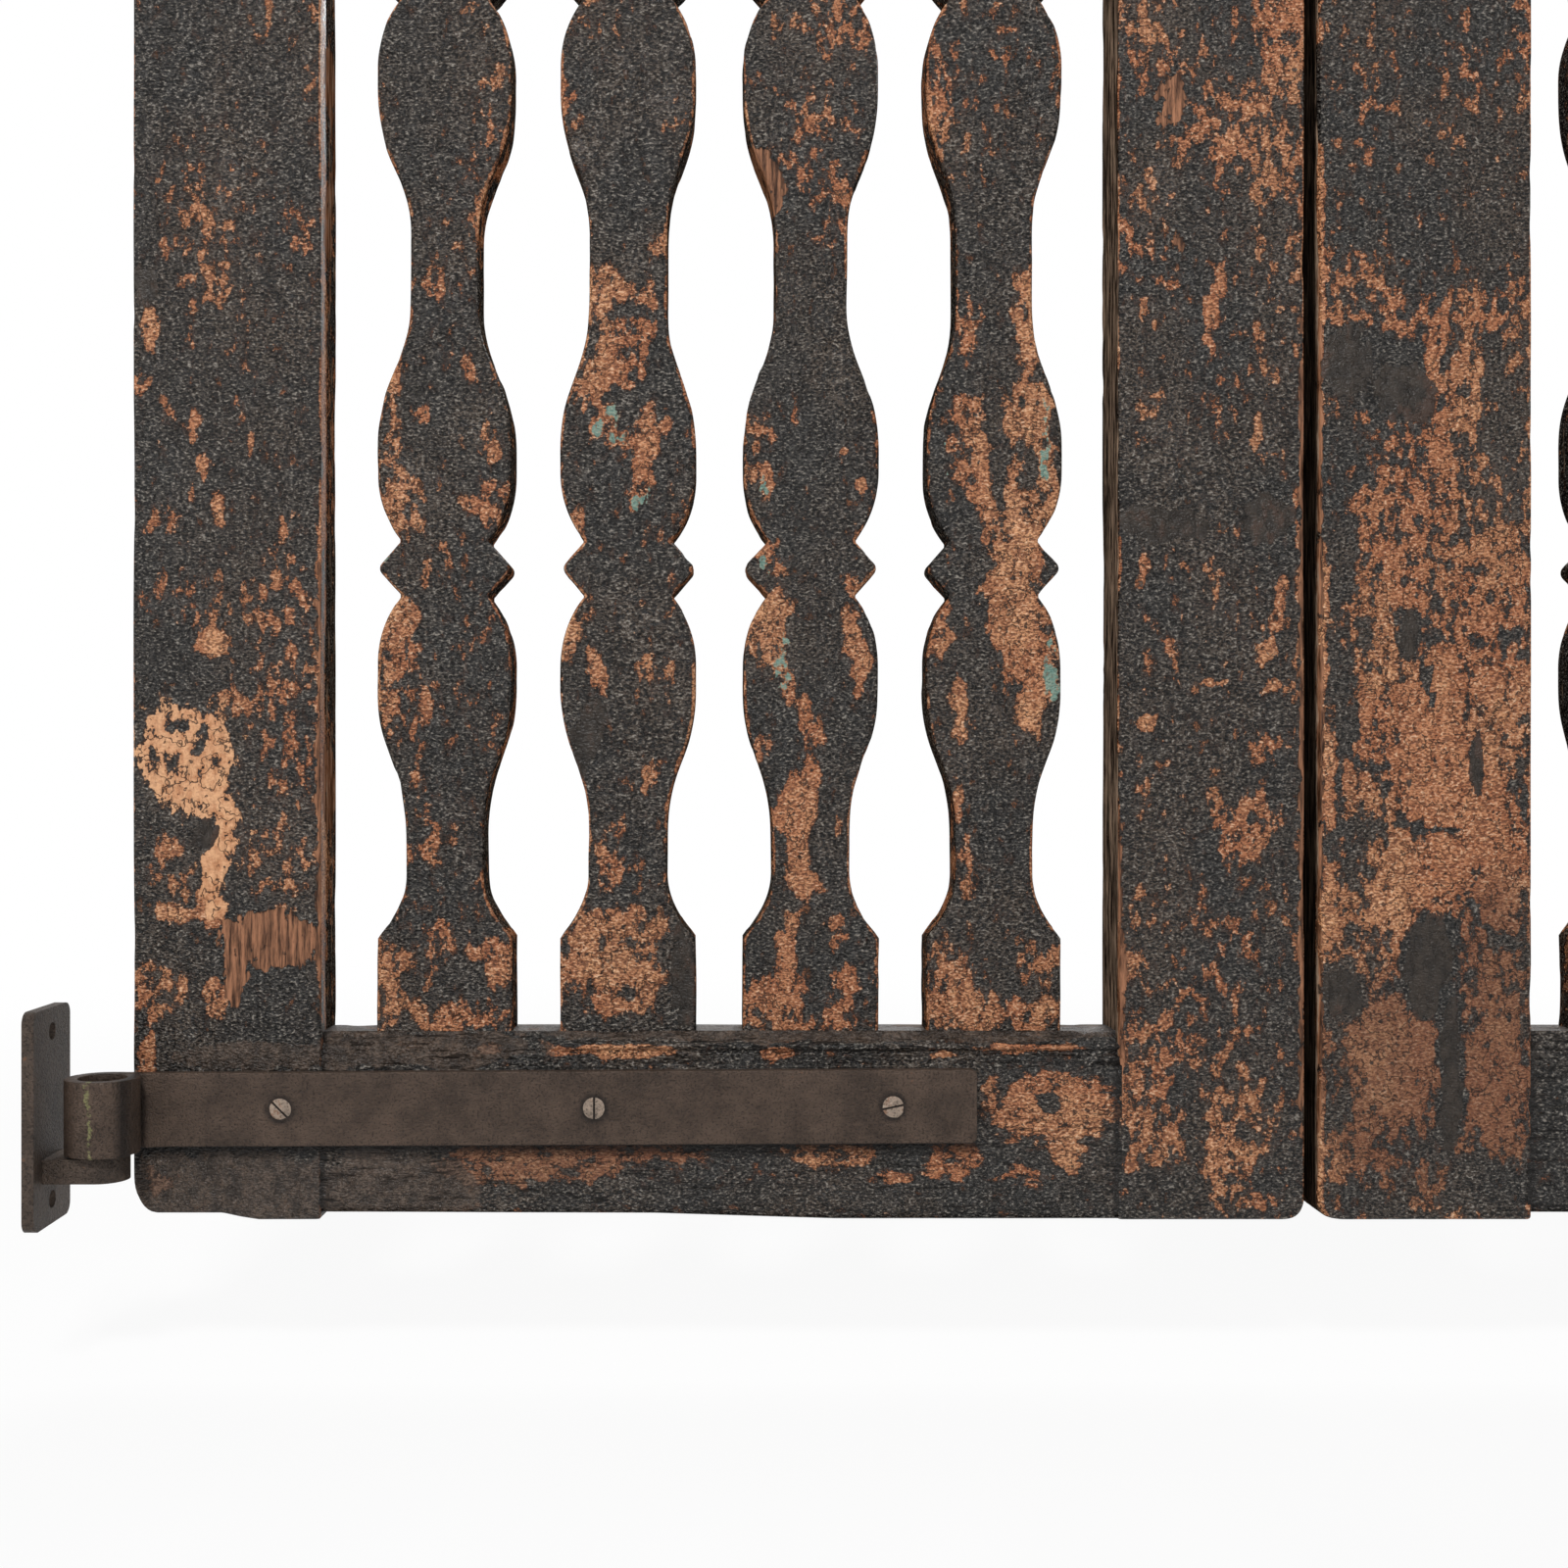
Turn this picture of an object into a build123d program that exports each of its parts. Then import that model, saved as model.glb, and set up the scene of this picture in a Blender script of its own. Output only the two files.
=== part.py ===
from build123d import *
import os

# A pair of framed garden gate leaves with flat shaped balusters, hung by strap hinges on pintles.
# X runs across the pair, the front faces -Y, and Z is up. The origin is the middle of the back
# face of the lower left pintle's plate. All sizes are in millimetres.

# Frame of each leaf
LEAF_HEIGHT = 975.0
FRAME_THICKNESS = 38.0
OPENING_WIDTH = 406.0
HINGE_STILE_WIDTH = 96.5
LEFT_MEETING_STILE_WIDTH = 96.0
RIGHT_MEETING_STILE_WIDTH = 110.0
RAIL_HEIGHT = 96.0
HINGE_CORNER_RADIUS = 12.0
MEETING_CORNER_RADIUS = 10.0

# Meeting edges: the gap at the front, and how far each edge is planed back at the rear
MEETING_GAP = 6.0
MEETING_BEVEL = 2.5

# Moulding along the rails' inner edges, on both faces: a slope in front of the balusters, a bead,
# a groove as deep as the bead's radius, and a shallow fillet
SLOPE_HEIGHT = 5.5
BEAD_RADIUS = 2.0
GROOVE_HEIGHT = 3.0
FILLET_HEIGHT = 4.5
FILLET_DEPTH = 0.6

# Stub tenons
RAIL_TENON_LENGTH = 42.0
RAIL_TENON_HEIGHT = 58.0
RAIL_TENON_THICKNESS = 13.0
BALUSTER_TENON_LENGTH = 22.0
BALUSTER_TENON_WIDTH = 46.0
BALUSTER_TENON_THICKNESS = 13.0

# Balusters: their number, thickness, pitch and the half-widths and heights of their outline
BALUSTER_COUNT = 4
BALUSTER_PITCH = 94.2
BALUSTER_THICKNESS = 25.0
BLOCK_HALF_WIDTH = 35.25
NECK_HALF_WIDTH = 20.5
KNOP_APEX_HALF_WIDTH = 35.2
KNOP_TIP_RADIUS = 4.0
NOTCH_HALF_WIDTH = 23.4
BLOCK_HEIGHT = 47.5
FLARE_HEIGHT = 32.5
LOWER_NECK_HEIGHT = 20.0
MIDDLE_NECK_HEIGHT = 33.0
BELLY_HEIGHT = 10.0
SHOULDER_HEIGHT = 35.0
NOTCH_HEIGHT = 1.6
KNOP_HEIGHT = 26.8
SHOULDER_BEND = 0.57

# Strap hinges: flat bar rolled into an eye towards the front
STRAP_WIDTH = 38.0
STRAP_THICKNESS = 6.5
STRAP_REACH = 430.0
STRAP_HEIGHT_ON_LEAF = 57.0
EYE_HOLE_RADIUS = 12.0
ROLL_GAP = 1.2
STRAP_END_RADIUS = 3.0
FIRST_SCREW_INSET = 76.7
LAST_SCREW_INSET = 42.4
MIDDLE_SCREW_OFFSET = 3.85
SCREW_HOLE_RADIUS = 3.0
SCREW_HEAD_RADIUS = 6.1
SCREW_SINK_DEPTH = 3.1

# Pintles: a pin on an arm that stands out of a plate, for the side face of a post or pier
PINTLE_REACH = 31.0
PINTLE_ARM_THICKNESS = 12.0
PINTLE_ARM_WALL = 2.0
PLATE_THICKNESS = 6.0
PLATE_DEPTH = 50.0
PLATE_HEIGHT = 108.0
PLATE_CORNER_RADIUS = 6.0
BOLT_SPACING = 84.0
BOLT_HOLE_RADIUS = 4.5

# Clearances
PIN_CLEARANCE = 0.5
EYE_LIFT = 0.8
PIN_SHORTFALL = 6.0
STILE_OFFSET = 9.0

# Places worked out from the sizes above
EYE_RADIUS = EYE_HOLE_RADIUS + STRAP_THICKNESS
PIN_RADIUS = EYE_HOLE_RADIUS - PIN_CLEARANCE
FRONT = EYE_RADIUS
BACK = FRONT + FRAME_THICKNESS
MIDDLE_DEPTH = (FRONT + BACK) / 2
BOTTOM = -STRAP_HEIGHT_ON_LEAF
TOP = BOTTOM + LEAF_HEIGHT
MID_HEIGHT = (BOTTOM + TOP) / 2
UPPER_HINGE = TOP - STRAP_HEIGHT_ON_LEAF
LEFT_AXIS = PINTLE_REACH
LEFT_EDGE = LEFT_AXIS + STILE_OFFSET
LEFT_WIDTH = HINGE_STILE_WIDTH + OPENING_WIDTH + LEFT_MEETING_STILE_WIDTH
RIGHT_WIDTH = HINGE_STILE_WIDTH + OPENING_WIDTH + RIGHT_MEETING_STILE_WIDTH
RIGHT_EDGE = LEFT_EDGE + LEFT_WIDTH + MEETING_GAP + RIGHT_WIDTH
CENTRE_PLANE = (LEFT_EDGE + RIGHT_EDGE) / 2
RAIL_TOP = BOTTOM + RAIL_HEIGHT

# The ogee curves take up what the baluster's other heights leave of half its length
HALF_BALUSTER = MID_HEIGHT - RAIL_TOP
KNOP_PART = KNOP_HEIGHT + 2 * (NOTCH_HEIGHT + SHOULDER_HEIGHT + BELLY_HEIGHT)
NECKS = LOWER_NECK_HEIGHT + MIDDLE_NECK_HEIGHT / 2
OGEE_HEIGHT = (HALF_BALUSTER - BLOCK_HEIGHT - FLARE_HEIGHT - KNOP_PART - NECKS) / 2

# Screws: one near each end of the strap's bar, and one a little off the middle between them
FIRST_SCREW = FIRST_SCREW_INSET
LAST_SCREW = STRAP_REACH - LAST_SCREW_INSET
MIDDLE_SCREW = (FIRST_SCREW + LAST_SCREW) / 2 + MIDDLE_SCREW_OFFSET


def block(x_range, y_range, z_range):
    """A box between two corners."""
    low = [min(pair) for pair in (x_range, y_range, z_range)]
    size = [abs(pair[1] - pair[0]) for pair in (x_range, y_range, z_range)]
    return Pos(*low) * Box(*size, align=(Align.MIN, Align.MIN, Align.MIN))


def centred(middle, width):
    """The two ends of a width about its middle."""
    return (middle - width / 2, middle + width / 2)


def raised(outline, height):
    """A flat outline pushed up into a solid, whichever way round it was drawn."""
    return extrude(outline, height, dir=(0, 0, 1))


def upright(outline, front, thickness):
    """A board cut to an outline in X and Z, from its front face to its back."""
    return Pos(0, front + thickness, 0) * Rot(90, 0, 0) * raised(outline, thickness)


def rail_tenon(x_range):
    """The space of a rail's stub tenon, in the middle of the rail's height and depth."""
    return block(
        x_range,
        centred(MIDDLE_DEPTH, RAIL_TENON_THICKNESS),
        centred(BOTTOM + RAIL_HEIGHT / 2, RAIL_TENON_HEIGHT),
    )


def baluster_tenon(centre):
    """The space of a baluster's lower stub tenon, below its seat on the rail."""
    return block(
        centred(centre, BALUSTER_TENON_WIDTH),
        centred(MIDDLE_DEPTH, BALUSTER_TENON_THICKNESS),
        (RAIL_TOP - BALUSTER_TENON_LENGTH, RAIL_TOP),
    )


def upper(part):
    """The same piece at the top of the leaf, mirrored about mid-height."""
    return mirror(part, about=Plane.XY.offset(MID_HEIGHT))


def on_right(part):
    """The same piece on the right-hand leaf, mirrored about the middle of the pair."""
    return mirror(part, about=Plane.YZ.offset(CENTRE_PLANE))


def stile(outer, inner, corner_radius):
    """A full-height stile from its outer edge to its inner one, with its outer corners rounded
    and mortises for both rails."""
    face = Pos((outer + inner) / 2, MID_HEIGHT) * Rectangle(abs(inner - outer), LEAF_HEIGHT)
    corners = face.vertices().sort_by(Axis.X)
    outer_corners = corners[:2] if outer < inner else corners[2:]
    body = upright(fillet(outer_corners, corner_radius), FRONT, FRAME_THICKNESS)
    mortise_end = inner + RAIL_TENON_LENGTH * (1 if outer > inner else -1)
    mortise = rail_tenon((inner, mortise_end))
    return body - mortise - upper(mortise)


def back_bevel(edge, inward):
    """The wedge planed off the back of a meeting edge, so that it clears as the leaf swings."""
    corners = [(edge, FRONT), (edge, BACK), (edge + inward * MEETING_BEVEL, BACK)]
    wedge = make_face(Polyline(*corners, close=True))
    return Pos(0, 0, BOTTOM) * raised(wedge, LEAF_HEIGHT)


def baluster_centres(first_edge):
    """The middles of the balusters, spaced about the middle of a leaf's opening."""
    middle = first_edge + OPENING_WIDTH / 2
    offsets = [number - (BALUSTER_COUNT - 1) / 2 for number in range(BALUSTER_COUNT)]
    return [middle + offset * BALUSTER_PITCH for offset in offsets]


def rail_section():
    """A bottom rail's section, drawn as depth behind the front and height, moulded on both sides."""
    slope_depth = (FRAME_THICKNESS - BALUSTER_THICKNESS) / 2
    bead_top = RAIL_TOP - SLOPE_HEIGHT
    bead_foot = bead_top - 2 * BEAD_RADIUS
    groove_foot = bead_foot - GROOVE_HEIGHT
    fillet_foot = groove_foot - FILLET_HEIGHT
    face = [
        Line((FRAME_THICKNESS / 2, BOTTOM), (0, BOTTOM)),
        Polyline(
            (0, BOTTOM),
            (0, fillet_foot),
            (FILLET_DEPTH, fillet_foot),
            (FILLET_DEPTH, groove_foot),
            (BEAD_RADIUS, groove_foot),
            (BEAD_RADIUS, bead_foot),
        ),
        ThreePointArc((BEAD_RADIUS, bead_foot), (0, bead_top - BEAD_RADIUS), (BEAD_RADIUS, bead_top)),
        Polyline((BEAD_RADIUS, bead_top), (slope_depth, RAIL_TOP), (FRAME_THICKNESS / 2, RAIL_TOP)),
    ]
    half = Curve() + face
    return make_face(half + mirror(half, about=Plane.YZ.offset(FRAME_THICKNESS / 2)))


def bottom_rail(first_edge):
    """A bottom rail between the stiles, with a tenon at each end and a mortise for each baluster."""
    last_edge = first_edge + OPENING_WIDTH
    rail = Pos(first_edge, FRONT, 0) * (Plane.YZ * raised(rail_section(), OPENING_WIDTH))
    rail += rail_tenon((first_edge - RAIL_TENON_LENGTH, first_edge))
    rail += rail_tenon((last_edge, last_edge + RAIL_TENON_LENGTH))
    for centre in baluster_centres(first_edge):
        rail -= baluster_tenon(centre)
    return rail


def ogee(start, end):
    """A baluster's edge from its neck at one height out to its belly at another."""
    half = (start + end) / 2
    return Bezier(
        (NECK_HALF_WIDTH, start), (NECK_HALF_WIDTH, half), (BLOCK_HALF_WIDTH, half), (BLOCK_HALF_WIDTH, end)
    )


def shoulder(start, end):
    """A baluster's edge from its belly at one height in to the notch at another."""
    bend = start + (end - start) * SHOULDER_BEND
    return Bezier((BLOCK_HALF_WIDTH, start), (BLOCK_HALF_WIDTH, bend), (NOTCH_HALF_WIDTH, end))


def belly_and_notch(knop_edge, way):
    """A baluster's edge from the knop's foot out over the belly and in to the neck, up or down,
    and the height at which the neck starts."""
    notch = knop_edge + way * NOTCH_HEIGHT
    belly_start = notch + way * SHOULDER_HEIGHT
    belly_end = belly_start + way * BELLY_HEIGHT
    neck = belly_end + way * OGEE_HEIGHT
    edges = [
        Line((NOTCH_HALF_WIDTH, knop_edge), (NOTCH_HALF_WIDTH, notch)),
        shoulder(belly_start, notch),
        Line((BLOCK_HALF_WIDTH, belly_start), (BLOCK_HALF_WIDTH, belly_end)),
        ogee(neck, belly_end),
    ]
    return edges, neck


def baluster(centre):
    """A flat baluster with a block at each end, necks, bellies and two pointed knops."""
    flare = RAIL_TOP + BLOCK_HEIGHT
    neck = flare + FLARE_HEIGHT
    knop = neck + LOWER_NECK_HEIGHT + OGEE_HEIGHT + BELLY_HEIGHT + SHOULDER_HEIGHT + NOTCH_HEIGHT
    knop_end = knop + KNOP_HEIGHT
    below, lower_neck_end = belly_and_notch(knop, -1)
    above, upper_neck = belly_and_notch(knop_end, 1)
    half_side = Curve() + [
        Line((0, RAIL_TOP), (BLOCK_HALF_WIDTH, RAIL_TOP)),
        Line((BLOCK_HALF_WIDTH, RAIL_TOP), (BLOCK_HALF_WIDTH, flare)),
        Bezier(
            (BLOCK_HALF_WIDTH, flare), (NECK_HALF_WIDTH, flare + FLARE_HEIGHT / 2), (NECK_HALF_WIDTH, neck)
        ),
        Line((NECK_HALF_WIDTH, neck), (NECK_HALF_WIDTH, lower_neck_end)),
        *below,
        FilletPolyline(
            (NOTCH_HALF_WIDTH, knop),
            (KNOP_APEX_HALF_WIDTH, knop + KNOP_HEIGHT / 2),
            (NOTCH_HALF_WIDTH, knop_end),
            radius=KNOP_TIP_RADIUS,
        ),
        *above,
        Line((NECK_HALF_WIDTH, upper_neck), (NECK_HALF_WIDTH, MID_HEIGHT)),
    ]
    side = half_side + mirror(half_side, about=Plane.XZ.offset(-MID_HEIGHT))
    outline = make_face(side + mirror(side, about=Plane.YZ))
    front = MIDDLE_DEPTH - BALUSTER_THICKNESS / 2
    body = Pos(centre, 0, 0) * upright(outline, front, BALUSTER_THICKNESS)
    tenon = baluster_tenon(centre)
    return body + tenon + upper(tenon)


def strap():
    """The lower left strap: a flat bar on the front of the leaf, rolled forward into the eye."""
    end = LEFT_EDGE + STRAP_REACH
    strap_front = FRONT - STRAP_THICKNESS
    bar_face = Pos((LEFT_AXIS + end) / 2, 0) * Rectangle(end - LEFT_AXIS, STRAP_WIDTH)
    bar_face = fillet(bar_face.vertices().sort_by(Axis.X)[2:], STRAP_END_RADIUS)
    bar = upright(bar_face, strap_front, STRAP_THICKNESS)
    eye = Pos(LEFT_AXIS, 0, 0) * Cylinder(EYE_RADIUS, STRAP_WIDTH)
    hole = Pos(LEFT_AXIS, 0, 0) * Cylinder(EYE_HOLE_RADIUS, STRAP_WIDTH)
    gap = block(
        (LEFT_AXIS, LEFT_AXIS + EYE_RADIUS),
        (strap_front - ROLL_GAP, strap_front),
        (-STRAP_WIDTH / 2, STRAP_WIDTH / 2),
    )
    result = bar + (eye - gap) - hole
    upwards = (Align.CENTER, Align.CENTER, Align.MIN)
    downwards = (Align.CENTER, Align.CENTER, Align.MAX)
    shank = Rot(90, 0, 0) * Cylinder(SCREW_HOLE_RADIUS, STRAP_THICKNESS, align=upwards)
    sink = Rot(90, 0, 0) * Cone(SCREW_HOLE_RADIUS, SCREW_HEAD_RADIUS, SCREW_SINK_DEPTH, align=downwards)
    for place in (FIRST_SCREW, MIDDLE_SCREW, LAST_SCREW):
        result -= Pos(LEFT_EDGE + place, FRONT, 0) * shank
        result -= Pos(LEFT_EDGE + place, strap_front, 0) * sink
    return result


def pintle_plate():
    """The lower left pintle's plate, upright against a post's side face, with two bolt holes."""
    face = fillet(Rectangle(PLATE_DEPTH, PLATE_HEIGHT).vertices(), PLATE_CORNER_RADIUS)
    for height in (-BOLT_SPACING / 2, BOLT_SPACING / 2):
        face -= Pos(0, height) * Circle(BOLT_HOLE_RADIUS)
    return Plane.YZ * raised(face, PLATE_THICKNESS)


def pintle_pin():
    """The lower left pintle's arm and pin: the arm is a flat bar with a round end, and the pin
    stands on it inside the strap's eye."""
    arm_top = -STRAP_WIDTH / 2 - EYE_LIFT
    arm_radius = PIN_RADIUS + PINTLE_ARM_WALL
    arm_base = arm_top - PINTLE_ARM_THICKNESS
    low = (Align.CENTER, Align.CENTER, Align.MIN)
    arm = block((PLATE_THICKNESS, LEFT_AXIS), (-arm_radius, arm_radius), (arm_base, arm_top))
    arm += Pos(LEFT_AXIS, 0, arm_base) * Cylinder(arm_radius, PINTLE_ARM_THICKNESS, align=low)
    pin_height = STRAP_WIDTH / 2 - PIN_SHORTFALL - arm_top
    return arm + Pos(LEFT_AXIS, 0, arm_top) * Cylinder(PIN_RADIUS, pin_height, align=low)


def write(node, part):
    """One STEP file for each piece."""
    export_step(part, os.path.join("parts", node + ".step"))


# Left-hand leaf
hinge_inner = LEFT_EDGE + HINGE_STILE_WIDTH
meeting_inner = hinge_inner + OPENING_WIDTH
left_meeting_edge = meeting_inner + LEFT_MEETING_STILE_WIDTH
hinge_stile = stile(LEFT_EDGE, hinge_inner, HINGE_CORNER_RADIUS)
left_meeting_stile = stile(left_meeting_edge, meeting_inner, MEETING_CORNER_RADIUS)
lower_rail = bottom_rail(hinge_inner)
left_balusters = [baluster(centre) for centre in baluster_centres(hinge_inner)]

# Right-hand leaf: its meeting edge is the mirror of its own stile's place
right_meeting_edge = left_meeting_edge + MEETING_GAP
right_meeting_inner = right_meeting_edge + RIGHT_MEETING_STILE_WIDTH
right_meeting_stile = stile(right_meeting_edge, right_meeting_inner, MEETING_CORNER_RADIUS)
right_rail = bottom_rail(right_meeting_inner)
right_balusters = [baluster(centre) for centre in baluster_centres(right_meeting_inner)]

pieces = {
    "left_hinge_stile": hinge_stile,
    "left_meeting_stile": left_meeting_stile - back_bevel(left_meeting_edge, -1),
    "left_bottom_rail": lower_rail,
    "left_top_rail": upper(lower_rail),
    "right_hinge_stile": on_right(hinge_stile),
    "right_meeting_stile": right_meeting_stile - back_bevel(right_meeting_edge, 1),
    "right_bottom_rail": right_rail,
    "right_top_rail": upper(right_rail),
}
for number, (left, right) in enumerate(zip(left_balusters, right_balusters), start=1):
    pieces[f"left_baluster_{number}"] = left
    pieces[f"right_baluster_{number}"] = right

lower_strap = strap()
hinge_rise = Pos(0, 0, UPPER_HINGE)
for height, lift in (("lower", Pos(0, 0, 0)), ("upper", hinge_rise)):
    pieces[f"left_{height}_strap"] = lift * lower_strap
    pieces[f"right_{height}_strap"] = on_right(lift * lower_strap)
    pieces[f"left_{height}_pintle_plate"] = lift * pintle_plate()
    pieces[f"right_{height}_pintle_plate"] = on_right(lift * pintle_plate())
    pieces[f"left_{height}_pintle_pin"] = lift * pintle_pin()
    pieces[f"right_{height}_pintle_pin"] = on_right(lift * pintle_pin())

for node, part in pieces.items():
    write(node, part)
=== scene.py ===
"""Looks of an old painted double garden gate: worn boards, flaking paint, strap hinges and screws.

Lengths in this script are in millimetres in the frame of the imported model, except where a name or
comment says metres. Meshes, lights and the camera are placed in metres.
"""

from math import radians, tau

import bpy
import numpy as np
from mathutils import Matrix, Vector


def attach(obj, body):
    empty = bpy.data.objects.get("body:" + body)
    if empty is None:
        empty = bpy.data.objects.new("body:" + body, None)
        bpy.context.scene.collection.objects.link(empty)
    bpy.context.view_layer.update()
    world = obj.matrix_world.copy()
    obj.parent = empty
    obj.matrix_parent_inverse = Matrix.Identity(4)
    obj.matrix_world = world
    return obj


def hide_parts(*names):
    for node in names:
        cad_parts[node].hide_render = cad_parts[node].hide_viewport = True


MM = 0.001

# Sizes that repeat the solids' own
FRONT, BACK = 18.5, 56.5
BALUSTER_FRONT, BALUSTER_BACK = 25.0, 50.0
BOTTOM, TOP = -57.0, 918.0
MID_HEIGHT = (BOTTOM + TOP) / 2
RAIL_TOP = 39.0
LEFT_AXIS, RIGHT_AXIS = 31.0, 1266.0
LEFT_OPENING = (136.5, 542.5)
RIGHT_OPENING = (754.5, 1160.5)
STRAP_LEVELS = (0.0, 861.0)
STRAP_LENGTH, STRAP_HALF_HEIGHT, STRAP_RISE = 439.0, 19.0, 0.0045
STRAP_THICKNESS, EYE_BORE = 6.5, 12.0
SCREW_INSETS = (85.7, 245.0, 396.6)
BALUSTER_SPACING = 94.2

# The camera, from the photograph: millimetres in the frame, the pixel straight ahead of it, and the
# size of a pixel on the front plane
CAMERA = (337.5, -906.5, 165.5)
AHEAD = (730, 800)
PIXEL = 0.5
FOCAL_PIXELS = 1850.0
PHOTO_SIZE, SENSOR = 1600, 36.0


def from_photo(pixels_x, pixels_y, depth=0.0):
    """Where a place in the photograph lies, as X and Z, on a plane so far behind the front."""
    spread = PIXEL * (1 + depth / (FOCAL_PIXELS * PIXEL))
    return CAMERA[0] + (pixels_x - AHEAD[0]) * spread, CAMERA[2] - (pixels_y - AHEAD[1]) * spread


# Smooth noise, worked out on arrays of points


def lattice(cells, seed):
    """A repeatable number from 0 to 1 for each whole-numbered lattice point."""
    mixed = (cells @ np.array([374761393, 668265263, 1440662683]) + seed * 974634541) & 0xFFFFFFFF
    mixed = ((mixed ^ (mixed >> 13)) * 1274126177) & 0xFFFFFFFF
    return ((mixed ^ (mixed >> 16)) & 0xFFFFFF) / 0xFFFFFF


def noise(points, sizes, seed):
    """Smooth noise from -1 to 1 whose features have these sizes along X, Y and Z."""
    scaled = points / np.asarray(sizes, float) + 0.37 * seed
    base = np.floor(scaled).astype(np.int64)
    part = scaled - base
    part = part * part * (3 - 2 * part)
    total = np.zeros(points.shape[:-1])
    for corner in np.ndindex(2, 2, 2):
        corner = np.array(corner)
        weight = np.prod(np.where(corner, part, 1 - part), axis=-1)
        total += weight * lattice(base + corner, seed)
    return total * 2 - 1


def fractal(points, sizes, seed, octaves=3):
    """Noise with finer and weaker noise on top of it."""
    sizes = np.asarray(sizes, float)
    layers = [noise(points, sizes / 2**n, seed + n) / 2**n for n in range(octaves)]
    return sum(layers) / sum(1 / 2**n for n in range(octaves))


def smooth_step(values, low, high):
    """0 below low, 1 above high, and a smooth rise between."""
    share = np.clip((values - low) / (high - low), 0, 1)
    return share * share * (3 - 2 * share)


# Meshes


def facing_out(points, faces):
    """The faces, turned over if they enclose a negative volume."""
    first, second, third, fourth = (points[faces[:, n]] for n in range(4))
    volume = np.einsum("ij,ij->", first, np.cross(second, third) + np.cross(third, fourth))
    return faces if volume > 0 else faces[:, ::-1]


def add_piece(name, points, faces, body, material, node=None, fields=None, crease=50):
    """A closed mesh of quads as a piece that rides on a body."""
    mesh = bpy.data.meshes.new(name)
    mesh.from_pydata((points * MM).tolist(), [], facing_out(points, faces).tolist())
    for field, values in (fields or {}).items():
        mesh.attributes.new(field, "FLOAT", "POINT").data.foreach_set("value", values.astype(np.float32))
    mesh.polygons.foreach_set("use_smooth", [True] * len(mesh.polygons))
    mesh.set_sharp_from_angle(angle=radians(crease))
    mesh.materials.append(material)
    piece = bpy.data.objects.new(name, mesh)
    bpy.context.scene.collection.objects.link(piece)
    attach(piece, body)
    if node:
        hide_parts(node)
    return piece


def skin(rows, around):
    """Quads round a tube of rings, as rows of vertex numbers."""
    row, column = np.mgrid[0 : rows - 1, 0:around]
    following = (column + 1) % around
    corners = [row * around + column, row * around + following]
    corners += [(row + 1) * around + following, (row + 1) * around + column]
    return np.stack(corners, -1).reshape(-1, 4)


def end_grid(ring, first_number, next_number, front, side):
    """A grid that closes a ring of front, side, back and side: its inner points and its quads."""
    around = len(ring)
    numbers = np.zeros((side + 1, front + 1), np.int64)
    across, down = np.arange(front + 1), np.arange(side + 1)
    numbers[0] = across
    numbers[side] = 2 * front + side - across
    numbers[:, 0] = (around - down) % around
    numbers[:, front] = front + down
    edge = ring[numbers]
    u = (across / front)[None, :, None]
    v = (down / side)[:, None, None]
    corners = (1 - v) * ((1 - u) * edge[0, 0] + u * edge[0, front])
    corners = corners + v * ((1 - u) * edge[side, 0] + u * edge[side, front])
    patch = (1 - u) * edge[:, :1] + u * edge[:, front:] + (1 - v) * edge[:1] + v * edge[side:] - corners
    numbers = numbers + first_number
    inner = next_number + np.arange((side - 1) * (front - 1)).reshape(side - 1, front - 1)
    numbers[1:side, 1:front] = inner
    quads = [numbers[:-1, :-1], numbers[:-1, 1:], numbers[1:, 1:], numbers[1:, :-1]]
    return patch[1:side, 1:front].reshape(-1, 3), np.stack(quads, -1).reshape(-1, 4)


def closed_tube(rings, front, side):
    """Points and quads of a tube of rings with a grid over each end."""
    rows, around, _ = rings.shape
    points, faces = [rings.reshape(-1, 3)], [skin(rows, around)]
    inner, quads = end_grid(rings[0], 0, rows * around, front, side)
    points.append(inner)
    faces.append(quads[:, ::-1])
    last = (rows - 1) * around
    inner, quads = end_grid(rings[-1], last, rows * around + len(inner), front, side)
    points.append(inner)
    faces.append(quads)
    return np.concatenate(points), np.concatenate(faces)


ARC = 3  # steps round each rounded arris


def rounded_section(low_a, high_a, low_b, high_b, radii, front, flat):
    """Rings of rounded rectangles: places along a and b, and the outward directions there.

    The limits are arrays with one value for each row. radii has a column for each corner, from
    low a and low b round by high a and low b. front and flat are the steps along a and along b."""
    corners = [(low_a, low_b), (high_a, low_b), (high_a, high_b), (low_a, high_b)]
    signs = [(-1, -1), (1, -1), (1, 1), (-1, 1)]
    places, normals = [], []

    def on_arris(number, direction):
        radius = radii[:, number]
        return [corners[number][k] - signs[number][k] * radius + radius * direction[k] for k in (0, 1)]

    for number, direction in enumerate([(0, -1), (1, 0), (0, 1), (-1, 0)]):
        following = (number + 1) % 4
        start, end = on_arris(number, direction), on_arris(following, direction)
        steps = flat if number % 2 else front
        for share in np.linspace(0, 1, steps + 1)[0 if number == 0 else 1 :]:
            places.append([start[k] + (end[k] - start[k]) * share for k in (0, 1)])
            normals.append(direction)
        for step in range(1, ARC + 1):
            turn = (number - 1) * tau / 4 + step / ARC * tau / 4
            places.append(on_arris(following, (np.cos(turn), np.sin(turn))))
            normals.append((np.cos(turn), np.sin(turn)))
    # The last place is the first one again
    return np.moveaxis(np.array(places[:-1]), -1, 0), np.array(normals[:-1])


# Where paint is gone: a level from -1.6, whole black paint, through 0, half gone, to 1.2, only
# undercoat, and then an ellipse in the photograph's pixels, as middle x and y, half width, half
# height and any tilt in degrees. Each stroke goes over the ones before it.

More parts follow.
